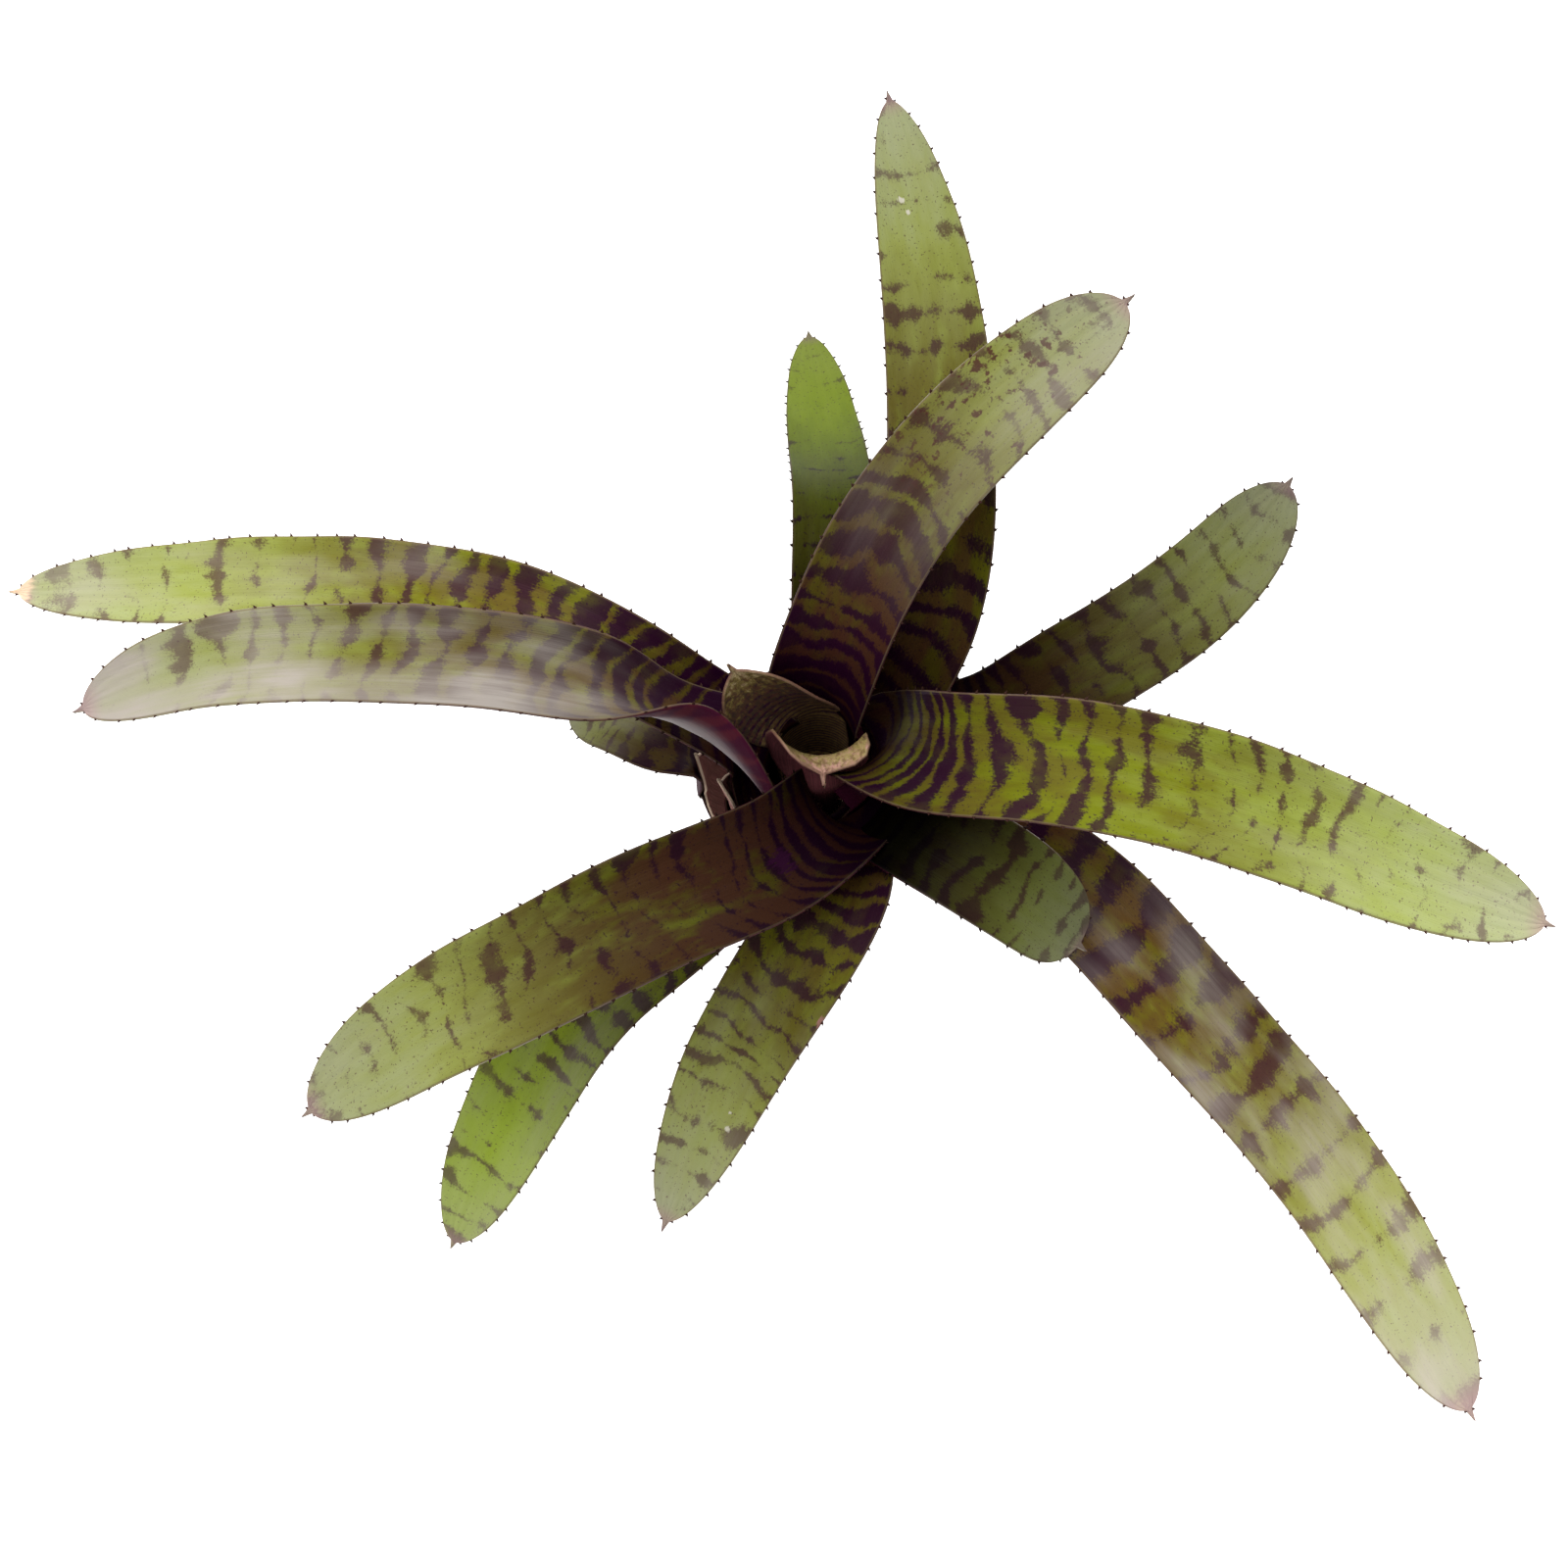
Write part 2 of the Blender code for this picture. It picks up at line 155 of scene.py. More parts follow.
LEAVES = (
    Leaf("heart_leaf_front", 0, -92, 84,
         ((-0.8, -6.4, 90), (-1, -4.2, 94), (-0.4, -3.6, 98), (1.4, -12.6, 101)), 30,
         cup=56, bluntness=12.0, slot="heart", upright=True, neck=0.58),
    Leaf("heart_leaf_left", 1, 109, 83, ((-8.7, 10.4, 93.5), (-16.8, 12.4, 106.5), (-23.5, 16, 118)),
         26, cup=42, bluntness=4.0, slot="heart", upright=True),
    Leaf("leaf_01", 2, 90, 84, ((3, 20, 108), (21, 50, 138), (50, 79, 150), (79, 105, 144)),
         29, cup=26, bluntness=9.0, neck=1.05),
    Leaf("leaf_04", 3, 198, 80,
         ((-33, 3, 102), (-70, 13, 121), (-120, 19, 113), (-165, 21, 89), (-198, 15, 68)), 28,
         cup=40, bluntness=9.0, roll=70, fold=38, neck=1.2),
    Leaf("leaf_03", 4, 2, 81,
         ((28, -7, 113), (54, -12, 129), (100, -21, 126), (148, -33, 99), (193, -43, 70)), 34, neck=1.0),
    Leaf("leaf_02", 5, -76, 80,
         ((-9, -31, 106), (-38, -48, 129), (-68, -62, 123), (-98, -74, 103), (-134, -93, 70)), 33, neck=1.0),
    Leaf("leaf_05", 6, -44, 72, ((29, -25, 97), (45, -35, 98), (58, -42, 86), (70, -50, 72)),
         29, bluntness=9.0),
    Leaf("leaf_06", 7, 37, 70, ((27, 30, 103), (31, 62, 117), (30, 105, 111), (19, 186, 80)),
         29, bluntness=4.0),
    Leaf("leaf_07", 8, -78, 67, ((5, -36, 92), (-3, -52, 95), (-20, -76, 71), (-42, -119, 28)),
         29, cup=22, bluntness=4.5),
    Leaf("leaf_08", 9, 156, 63,
         ((-36, 15, 88), (-69, 29, 106), (-116, 43, 92), (-174, 53, 56), (-226, 60, 24)), 26, cup=30),
    Leaf("leaf_09", 10, 20, 60, ((42, 9, 80), (66, 18, 98), (88, 32, 98), (127, 78, 76)), 28),
    Leaf("dry_scale_2", 10, 190, 53, ((-25, -4, 62), (-26.5, -3, 69)),
         11, cup=40, bluntness=2.0, slot="dry_scale", upright=True),
    Leaf("leaf_10", 11, -128, 57, ((-34, -41, 80), (-54, -58, 84), (-76, -83, 60), (-101, -121, 0)),
         29, cup=20, bluntness=5.0),
    Leaf("leaf_11", 12, 84, 54, ((3, 38, 74), (4, 62, 84), (3, 88, 60), (-2, 145, 0)),
         22, cup=20, bluntness=5.0),
    Leaf("leaf_12", 13, -14, 50, ((52, -20, 62), (92, -57, 60), (135, -101, 32), (180, -168, 0)),
         31, cup=20, bluntness=10.0),
    Leaf("dry_scale_1", 14, 176, 50, ((-31.5, 3.5, 58), (-32.5, 4.5, 66)),
         12, cup=40, bluntness=2.0, slot="dry_scale", upright=True),
    Leaf("leaf_13", 15, 168, 48, ((-40, 11, 60), (-53, 19, 50), (-70, 27, 33)),
         25, cup=20, bluntness=6.0, roll=35, fold=20),
)


class Mark(NamedTuple):
    """A scar or patch: its place on the blade and its radius in millimetres."""

    along: float
    across: float
    radius: float
    colour: tuple


class Look(NamedTuple):
    """How one leaf is painted, apart from what all leaves share."""

    green: float  # 0 is olive brown, 1 is lime and 2 is a vivid green
    banding: float  # added to the share that the dark bands cover
    haze: float  # whitish scurf over the blade
    haze_from: float  # share of the blade at which the scurf begins
    dark_base: float  # how far the base's maroon reaches, as a share of the longest blade
    shade: float  # painted shade: how light the middle of the blade is, darker where other leaves shade it
    bright: float  # painted light and shade: how light the outer blade is, lit through from below or shaded by the leaves above it
    blush: float  # reddish brown clouds over the inner blade
    spacing: float = 1.0  # how far apart the bands stand, against the others
    haze_side: float = 0.0  # the margin that gets more scurf: -1, 1, or 0 for neither
    speckle: float = 0.0  # reddish speckles near the tip
    dead_tip: float = 0.0  # length in mm of a dry, tan tip
    marks: tuple = ()


PALE_SCAR = (0.74, 0.70, 0.58)
DRY_SCAR = (0.52, 0.27, 0.22)
PURPLE_PATCH = (0.075, 0.010, 0.060)

LOOKS = {
    "leaf_01": Look(green=0.34, banding=0.20, haze=0.24, haze_from=0.42, dark_base=0.42, shade=0.74,
                    bright=0.82, blush=0.88, spacing=1.3, haze_side=-1.0, speckle=0.9),
    "leaf_02": Look(green=0.42, banding=-0.10, haze=0.16, haze_from=0.70, dark_base=0.30, shade=0.36,
                    bright=1.00, blush=1.05, spacing=1.1, marks=(Mark(36.0, 1.0, 5.0, PURPLE_PATCH),)),
    "leaf_03": Look(green=0.72, banding=-0.06, haze=0.22, haze_from=0.60, dark_base=0.12, shade=0.94,
                    bright=1.27, blush=0.45, spacing=1.1),
    "leaf_04": Look(green=0.40, banding=0.08, haze=0.72, haze_from=0.30, dark_base=0.30, shade=0.88,
                    bright=1.06, blush=0.70, spacing=1.15, haze_side=1.0),
    "leaf_05": Look(green=1.10, banding=0.12, haze=0.12, haze_from=0.84, dark_base=0.60, shade=0.02,
                    bright=0.58, blush=0.50),
    "leaf_06": Look(green=0.50, banding=0.04, haze=0.10, haze_from=0.65, dark_base=0.25, shade=0.58,
                    bright=0.74, blush=0.75, spacing=1.6,
                    marks=(Mark(166.0, 3.0, 1.3, PALE_SCAR), Mark(161.5, 1.8, 0.9, PALE_SCAR))),
    "leaf_07": Look(green=0.45, banding=0.06, haze=0.22, haze_from=0.45, dark_base=0.28, shade=0.72,
                    bright=1.00, blush=0.55, spacing=1.1,
                    marks=(Mark(112.0, 6.0, 1.1, PALE_SCAR), Mark(107.0, 5.0, 0.7, PALE_SCAR),
                           Mark(62.0, 14.0, 1.9, DRY_SCAR))),
    "leaf_08": Look(green=0.52, banding=0.04, haze=0.28, haze_from=0.35, dark_base=0.30, shade=1.10,
                    bright=1.24, blush=0.60, spacing=1.2, dead_tip=9.0),
    "leaf_09": Look(green=0.40, banding=0.00, haze=0.20, haze_from=0.55, dark_base=0.40, shade=0.25,
                    bright=0.49, blush=0.80, spacing=1.2),
    "leaf_10": Look(green=1.60, banding=-0.04, haze=0.20, haze_from=0.40, dark_base=0.35, shade=0.78,
                    bright=0.95, blush=0.10, spacing=1.2, haze_side=1.0),
    "leaf_11": Look(green=1.90, banding=-0.42, haze=0.04, haze_from=0.80, dark_base=0.50, shade=0.36,
                    bright=0.46, blush=0.15, spacing=1.3),
    "leaf_12": Look(green=0.30, banding=0.16, haze=0.54, haze_from=0.30, dark_base=0.22, shade=1.10,
                    bright=1.54, blush=0.75, spacing=2.1),
    "leaf_13": Look(green=0.35, banding=0.00, haze=0.34, haze_from=0.40, dark_base=0.20, shade=0.66,
                    bright=0.70, blush=0.50),
}


class Lamp(NamedTuple):
    """A square soft light, in metres and watts."""

    name: str
    place: tuple
    size: float
    power: float


LAMPS = (Lamp("overhead", (-0.35, 0.25, 1.5), 1.2, 24.0), Lamp("behind", (0.5, 1.3, 0.9), 0.8, 12.0))


def smoothstep(x):
    x = np.clip(x, 0.0, 1.0)
    return x * x * (3.0 - 2.0 * x)


def unit(vectors):
    return vectors / np.linalg.norm(vectors, axis=-1, keepdims=True)


def lengths_along(points):
    """The length from the first point to each point."""
    return np.concatenate(([0.0], np.cumsum(np.linalg.norm(np.diff(points, axis=0), axis=1))))


def radial(leaf):
    angle = math.radians(leaf.azimuth)
    return np.array((math.cos(angle), math.sin(angle), 0.0))


def wall_direction(leaf):
    return math.sin(WALL_ANGLE) * radial(leaf) + math.cos(WALL_ANGLE) * UP


def sheath_line(leaf):
    """(radius, height) along a leaf base: the urn's sloping floor, its round belly and its wall."""
    belly = INNER_BELLY_RADIUS + leaf.layer * LAYER_PITCH
    start_radius = STEM_RADIUS + STEM_GAP

    def on_arc(angle):
        return (BELLY_CENTRE_R + belly * math.cos(angle), BELLY_CENTRE_Z - belly * math.sin(angle))

    line = []
    arc_start = FLOOR_ANGLE
    floor_end = on_arc(FLOOR_ANGLE)
    if floor_end[0] > start_radius + SHORTEST_FLOOR:
        run = (floor_end[0] - start_radius) / math.sin(FLOOR_ANGLE)
        line.append((start_radius, floor_end[1] - run * math.cos(FLOOR_ANGLE)))
    else:
        arc_start = math.acos(min(1.0, (start_radius - BELLY_CENTRE_R) / belly))
    for i in range(ARC_STATIONS + 1):
        line.append(on_arc(arc_start + (WALL_ANGLE - arc_start) * i / ARC_STATIONS))
    wall_foot = line[-1]
    for i in range(1, WALL_STATIONS + 1):
        z = wall_foot[1] + (leaf.mouth - wall_foot[1]) * i / WALL_STATIONS
        line.append((wall_foot[0] + (z - wall_foot[1]) * math.tan(WALL_ANGLE), z))
    return np.array(line)


def spline(points, start_direction):
    """A cubic curve through the points that leaves the first one in the direction given."""
    points = np.array(points, float)
    spans = np.linalg.norm(np.diff(points, axis=0), axis=1)
    knots = lengths_along(points)
    count = len(points)
    system = np.zeros((count, count))
    target = np.zeros((count, 3))
    system[0, 0] = 1.0
    target[0] = start_direction
    for i in range(1, count - 1):
        before, after = spans[i - 1], spans[i]
        system[i, i - 1 : i + 2] = after, 2.0 * (before + after), before
        target[i] = 3.0 * (after * (points[i] - points[i - 1]) / before
                           + before * (points[i + 1] - points[i]) / after)
    system[-1, -2:] = 1.0, 2.0
    target[-1] = 3.0 * (points[-1] - points[-2]) / spans[-1]
    slopes = np.linalg.solve(system, target)
    at = np.linspace(0.0, knots[-1], CURVE_SAMPLES)
    span = np.clip(np.searchsorted(knots, at, side="right") - 1, 0, count - 2)
    length = spans[span][:, None]
    x = (at - knots[span])[:, None] / length
    return ((2 * x**3 - 3 * x**2 + 1) * points[span] + (x**3 - 2 * x**2 + x) * length * slopes[span]
            + (3 * x**2 - 2 * x**3) * points[span + 1] + (x**3 - x**2) * length * slopes[span + 1])


def blade_midline(leaf, line):
    """The blade's middle from the urn's mouth to the apex, finely sampled."""
    mouth_point = line[-1, 0] * radial(leaf) + line[-1, 1] * UP
    return spline((mouth_point,) + leaf.spine, wall_direction(leaf))


def read_along(curve, reach, at):
    """The curve's points at the lengths given."""
    return np.stack([np.interp(at, reach, curve[:, k]) for k in range(3)], -1)


def blade_half_width(leaf, share):
    """Half of the blade's width: narrower at the mouth, rounded off to the mucro at the tip."""
    neck = leaf.neck + (1.0 - leaf.neck) * smoothstep(share / NECK_SHARE)
    outline = leaf.width / 2.0 * neck * (1.0 - share**leaf.bluntness) ** TIP_EXPONENT
    return np.maximum(outline, MUCRO_HALF_WIDTH)


class Stations(NamedTuple):
    """The cross-sections of a leaf in millimetres, from its foot on the stem to its mucro."""

    along: np.ndarray
    share: np.ndarray
    centre: np.ndarray
    radius: np.ndarray
    side: np.ndarray
    inward: np.ndarray
    half_width: np.ndarray
    half_angle: np.ndarray


def blade_stations(blade_length):
    """Lengths of the stations past the mouth, closer near the tip, their shares and the mucro's taper."""
    count = int(blade_length / STATION_SPACING)
    steps = np.arange(1, count + 1) / count
    shares = 1.0 - (1.0 - steps) ** TIP_CROWDING
    mucro = np.arange(1, MUCRO_STATIONS) / MUCRO_STATIONS
    reach = np.concatenate((shares * blade_length, blade_length + mucro * MUCRO_LENGTH))
    taper = np.concatenate((np.ones(count), 1.0 - mucro))
    return reach, np.concatenate((shares, np.ones(len(mucro)))), taper


def cross_axes(leaf, tangent, turned):
    """Directions across the leaf and towards its hollow side, turned about the midline where it rolls."""
    side = unit(np.cross(UP - radial(leaf) * UPRIGHT_FACING * leaf.upright, tangent))
    inward = np.cross(tangent, side)
    roll = np.radians(leaf.roll) * turned[:, None]
    return side * np.cos(roll) + inward * np.sin(roll), inward * np.cos(roll) - side * np.sin(roll)


def leaf_stations(leaf, line, curve):
    """The leaf base's stations, and past the mouth those of the blade."""
    curve_reach = lengths_along(curve)
    sheath_reach = lengths_along(line)
    in_urn = len(line)
    blade_reach, shares, taper = blade_stations(curve_reach[-1] - MUCRO_LENGTH)
    along = np.concatenate((sheath_reach - sheath_reach[-1], blade_reach))
    share = np.concatenate((np.zeros(in_urn), shares))

    sheath_centre = np.array([r * radial(leaf) + z * UP for r, z in line])
    centre = np.concatenate((sheath_centre, read_along(curve, curve_reach, blade_reach)))
    blade_tangent = read_along(np.gradient(curve, axis=0), curve_reach, blade_reach)
    tangent = unit(np.concatenate((np.tile(wall_direction(leaf), (in_urn, 1)), blade_tangent)))
    turned = np.exp(-(((share - ROLL_AT_SHARE) / ROLL_SHARE) ** 2))
    side, inward = cross_axes(leaf, tangent, turned)

    radius = np.concatenate((line[:, 0], np.full(len(shares), line[-1, 0])))
    belly_limit = np.minimum(SHEATH_HALF_WIDTH, radius * CLASP_ANGLE)
    narrowing = smoothstep(along / MOUTH_BLEND + 1.0)
    half_width = belly_limit + (blade_half_width(leaf, share) - belly_limit) * narrowing
    half_width = half_width * np.concatenate((np.ones(in_urn), taper))
    mouth_angle = blade_half_width(leaf, 0.0) / line[-1, 0]
    cup = np.radians(leaf.cup + leaf.fold * turned)
    half_angle = np.where(along <= 0.0, half_width / radius,
                          cup + (mouth_angle - cup) * np.exp(-share / CUP_SHARE))
    return Stations(along, share, centre, radius, side, inward, half_width, half_angle)


def plain_surface(leaf, at, v):
    """The solid's own middle surface: round the urn below the mouth, and cupped about the midline past it."""
    swing = at.half_angle[:, None, None] * v[None, :, None]
    bend = (at.half_width / at.half_angle)[:, None, None]
    blade = (at.centre[:, None] + at.side[:, None] * bend * np.sin(swing)
             + at.inward[:, None] * bend * (1.0 - np.cos(swing)))
    around = swing + math.radians(leaf.azimuth)
    radius = at.radius[:, None, None]
    sheath = np.concatenate((radius * np.cos(around), radius * np.sin(around),
                             np.broadcast_to(at.centre[:, None, 2:], around.shape)), -1)
    on_blade = smoothstep(at.along / MOUTH_BLEND + 1.0)[:, None, None]
    return sheath + (blade - sheath) * on_blade


def relief(leaf, at, v):
    """How far the waver and the grooves lift each point."""
    phase = leaf.layer * WAVER_PHASE_PER_LAYER
    waver = np.sin(2.0 * math.pi * at.along[:, None] / WAVER_LENGTH + phase
                   + WAVER_PHASE_PER_SIDE * np.sign(v)[None, :])
    lift = (WAVER_HEIGHT * waver * np.abs(v[None, :]) ** WAVER_MARGIN_EXPONENT
            * (1.0 - at.share[:, None] ** WAVER_TIP_EXPONENT))
    for place in GROOVES:
        lift = lift - GROOVE_DEPTH * np.exp(-(((v[None, :] - place) / GROOVE_HALF_WIDTH) ** 2))
    free = smoothstep(at.along / RELIEF_START_LENGTH)
    return lift * free[:, None] * np.minimum(1.0, at.half_width / RELIEF_HALF_WIDTH)[:, None]


class Form(NamedTuple):
    """A leaf's middle surface in millimetres, and the place of each of its points on the leaf."""

    surface: np.ndarray
    along: np.ndarray
    across: np.ndarray
    share: np.ndarray
    edge: np.ndarray
    apex: np.ndarray
    sheath_count: int


def leaf_form(leaf):
    """The same form as the solid's, at closer stations, with fine grooves and a slight waver."""
    line = sheath_line(leaf)
    curve = blade_midline(leaf, line)
    at = leaf_stations(leaf, line, curve)
    v = np.linspace(-1.0, 1.0, COLUMNS + 1)
    surface = plain_surface(leaf, at, v) + at.inward[:, None] * relief(leaf, at, v)[:, :, None]
    across = at.half_width[:, None] * v[None, :]
    edge = at.half_width[:, None] * (1.0 - np.abs(v[None, :]))
    along = np.broadcast_to(at.along[:, None], across.shape)
    share = np.broadcast_to(at.share[:, None], across.shape)
    return Form(surface, along, across, share, edge, curve[-1], len(line))


def leaf_thickness(form):
    """Thin in the urn and a little thicker past the mouth, and thinner at the margins."""
    v = np.linspace(-1.0, 1.0, COLUMNS + 1)
    thickening = smoothstep(form.along[:, 0] / THICKENING_LENGTH)
    middle = SHEATH_THICKNESS + (BLADE_THICKNESS - SHEATH_THICKNESS) * thickening
    return middle[:, None] * (1.0 - (1.0 - MARGIN_SHARE) * v[None, :] ** 2)


class Builder:
    """Gathers points with their place on the leaf, and faces, for one mesh."""

    def __init__(self):
        self.points, self.faces, self.places, self.count = [], [], [], 0

    def add(self, points, places):
        """Adds points and their places, in the order of PLACE_LABELS, and returns their numbers."""
        points = np.asarray(points).reshape(-1, 3)
        self.points.append(points)
        self.places.append(np.broadcast_to(np.asarray(places, float), (len(points), len(PLACE_LABELS))))
        numbers = np.arange(self.count, self.count + len(points))
        self.count += len(points)
        return numbers

    def grid_faces(self, numbers, flip):
        a, b, c, d = numbers[:-1, :-1], numbers[:-1, 1:], numbers[1:, 1:], numbers[1:, :-1]
        quads = np.stack((a, b, c, d) if flip else (a, d, c, b), -1).reshape(-1, 4)
        self.faces.extend(quads.tolist())

    def mesh(self, name):
        points = np.concatenate(self.points) * MM
        places = np.concatenate(self.places)
        made = bpy.data.meshes.new(name)
        made.from_pydata(points.tolist(), [], self.faces)
        for k, label in enumerate(PLACE_LABELS):
            layer = made.attributes.new(label, "FLOAT", "POINT")
            layer.data.foreach_set("value", places[:, k].astype(np.float32))
        made.update()
        made.shade_smooth()
        return made


def grid_places(form, under):
    zero = np.zeros_like(form.along)
    places = np.stack((form.along, form.across, form.share, form.edge, zero + under, zero), -1)
    return places.reshape(-1, len(PLACE_LABELS))


def margin_lines(form, normal, column):
    """One margin's points, its directions outwards, ahead and up, and its places on the leaf."""
    spined = slice(form.sheath_count - SPINE_STATIONS_IN_URN, None)
    next_column = 1 if column == 0 else COLUMNS - 1
    margin = form.surface[spined, column]
    outward = unit(margin - form.surface[spined, next_column])
    ahead = unit(np.gradient(margin, axis=0))
    places = np.stack((form.along, form.across, form.share), -1)[spined, column]
    return margin, outward, ahead, normal[spined, column], places


def add_spine(build, root, out, ahead, up, place):
    """A ring sunk into the margin, a narrower ring half way, and a tip that leans ahead."""
    angles = 2.0 * math.pi * np.arange(SPINE_SIDES) / SPINE_SIDES
    ring = (root - out * SPINE_SINK
            + ahead * SPINE_BASE * np.cos(angles)[:, None]
            + up * SPINE_BASE_HEIGHT * np.sin(angles)[:, None])
    knee = (root + (out + ahead * SPINE_LEAN * SPINE_KNEE_LEAN) * SPINE_LENGTH * SPINE_KNEE_AT
            + ahead * SPINE_BASE * SPINE_KNEE_SHARE * np.cos(angles)[:, None]
            + up * SPINE_KNEE_HEIGHT * np.sin(angles)[:, None])
    tip = root + (out + ahead * SPINE_LEAN) * SPINE_LENGTH
    places = (*place, 0.0, 0.0, 1.0)
    low = build.add(ring, places)
    middle = build.add(knee, places)
    top = build.add(tip, places)[0]
    for i in range(SPINE_SIDES):
        n = (i + 1) % SPINE_SIDES
        build.faces.append([low[i], low[n], middle[n], middle[i]])
        build.faces.append([middle[i], middle[n], top])
    build.faces.append(low[::-1].tolist())


def add_spines(build, form, normal):
    """Spines along both margins from the mouth to the tip, not quite evenly spaced."""
    for column in (0, COLUMNS):
        lines = margin_lines(form, normal, column)
        reach = lengths_along(lines[0])
        count = int(reach[-1] / SPINE_SPACING)
        for k in range(count):
            shift = SPINE_SHIFT * math.sin(SPINE_SHIFT_STEP * k + count)
            at = (k + 0.5 + shift) * reach[-1] / count
            add_spine(build, *(read_along(line, reach, at) for line in lines))


def leaf_mesh(leaf):
    """The leaf as one closed surface with its spines."""
    form = leaf_form(leaf)
    normal = unit(np.cross(np.gradient(form.surface, axis=0), np.gradient(form.surface, axis=1)))
    half = leaf_thickness(form)[:, :, None] / 2.0
    build = Builder()
    shape = form.along.shape
    top = build.add(form.surface + normal * half, grid_places(form, 0.0)).reshape(shape)
    bottom = build.add(form.surface - normal * half, grid_places(form, 1.0)).reshape(shape)
    build.grid_faces(top, False)
    build.grid_faces(bottom, True)
    build.grid_faces(np.stack((bottom[:, 0], top[:, 0]), -1), False)
    build.grid_faces(np.stack((top[:, -1], bottom[:, -1]), -1), False)
    build.grid_faces(np.stack((top[0], bottom[0])), False)
    last_place = (form.along[-1, 0], 0.0, 1.0, 0.0, 0.0, 0.0)
    apex = build.add(form.apex, last_place)[0]
    ring = list(top[-1]) + list(bottom[-1][::-1])
    for i, point in enumerate(ring):
        build.faces.append([point, ring[(i + 1) % len(ring)], apex])
    if not leaf.upright:
        add_spines(build, form, normal)
    return build.mesh(leaf.name + "_skin")


def clamp_into(mesh, low, high):
    """Keeps every point inside the solids' box."""
    points = np.empty(len(mesh.vertices) * 3, np.float32)
    mesh.vertices.foreach_get("co", points)
    points = np.clip(points.reshape(-1, 3), low, high)
    mesh.vertices.foreach_set("co", points.ravel())
    mesh.update()


class Paint:
    """Short names for the shader nodes that a material is made of."""

    def __init__(self, name):
        self.material = bpy.data.materials.new(name)
        self.material.use_nodes = True
        self.tree = self.material.node_tree
        self.tree.nodes.clear()

    def node(self, kind, values=(), **settings):
        made = self.tree.nodes.new(kind)
        for key, value in settings.items():
            setattr(made, key, value)
        for key, value in dict(values).items():
            self.feed(made.inputs[key], value)
        return made

    def feed(self, socket, value):
        if isinstance(value, bpy.types.NodeSocket):
            self.tree.links.new(value, socket)
        elif isinstance(value, tuple) and socket.type == "RGBA":
            socket.default_value = (*value, 1.0)
        else:
            socket.default_value = value

    def attribute(self, name):
        return self.node("ShaderNodeAttribute", attribute_name=name).outputs["Fac"]

    def math(self, operation, a, b=0.0):
        made = self.node("ShaderNodeMath", operation=operation)
        self.feed(made.inputs[0], a)
        self.feed(made.inputs[1], b)
        return made.outputs[0]

    def add(self, a, b):
        return self.math("ADD", a, b)

    def times(self, a, b):
        return self.math("MULTIPLY", a, b)

    def line(self, value, base, gain):
        """The base plus the gain times the value."""
        return self.add(base, self.times(value, gain))

    def swing(self, value, amount):
        """How far a noise is from its middle, times the amount."""
        return self.times(self.add(value, -0.5), amount)

    def step(self, value, start, end):
        """0 below start and 1 above end, smooth between them; start may be above end."""
        made = self.node("ShaderNodeMapRange", interpolation_type="SMOOTHSTEP")
        for key, item in (("Value", value), ("From Min", start), ("From Max", end)):
            self.feed(made.inputs[key], item)
        return made.outputs[0]

    def place(self, x, y, z):
        made = self.node("ShaderNodeCombineXYZ")
        for socket, value in zip(made.inputs, (x, y, z)):
            self.feed(socket, value)
        return made.outputs[0]

    def noise(self, where, scale, detail, roughness=0.5):
        made = self.node("ShaderNodeTexNoise", noise_dimensions="3D",
                         values={"Vector": where, "Scale": scale, "Detail": detail, "Roughness": roughness})
        return made.outputs["Fac"]

    def mix(self, factor, a, b):
        """One colour over the other; the sockets go by number because several share a name."""
        made = self.node("ShaderNodeMix", data_type="RGBA")
        for socket, value in ((made.inputs[0], factor), (made.inputs[6], a), (made.inputs[7], b)):
            self.feed(socket, value)
        return made.outputs[2]

    def scaled(self, colour, factor):
        return self.node("ShaderNodeVectorMath", operation="SCALE",
                         values={"Vector": colour, "Scale": factor}).outputs[0]

    def ramp(self, value, stops):
        made = self.node("ShaderNodeValToRGB")
        self.feed(made.inputs[0], value)
        elements = made.color_ramp.elements
        while len(elements) < len(stops):
            elements.new(0.5)
        for element, (at, colour) in zip(elements, stops):
            element.position = at
            element.color = (*colour, 1.0)
        return made.outputs[0]

    def bump(self, height, distance, strength):
        values = {"Height": height, "Distance": distance, "Strength": strength}
        return self.node("ShaderNodeBump", values=values).outputs[0]

    def skin(self, colour, normal, roughness, specular):
        values = {"Base Color": colour, "Normal": normal, "Roughness": roughness,
                  "Specular IOR Level": specular}
        return self.node("ShaderNodeBsdfPrincipled", values=values).outputs[0]

    def finish(self, shader):
        output = self.node("ShaderNodeOutputMaterial")
        self.tree.links.new(shader, output.inputs["Surface"])
        return self.material


class Field(NamedTuple):
    """A noise over a leaf: how fast it changes across and along, and what tells it from the others."""

    across: float
    along: float
    seed: float
    detail: float = 2.0
    roughness: float = 0.5


# How a mark departs from a circle: squeezed across, ragged, and solid out to this share of its radius
MARK_SQUEEZE = 1.8
MARK_RAGGEDNESS = 3.0
MARK_CORE = 0.5


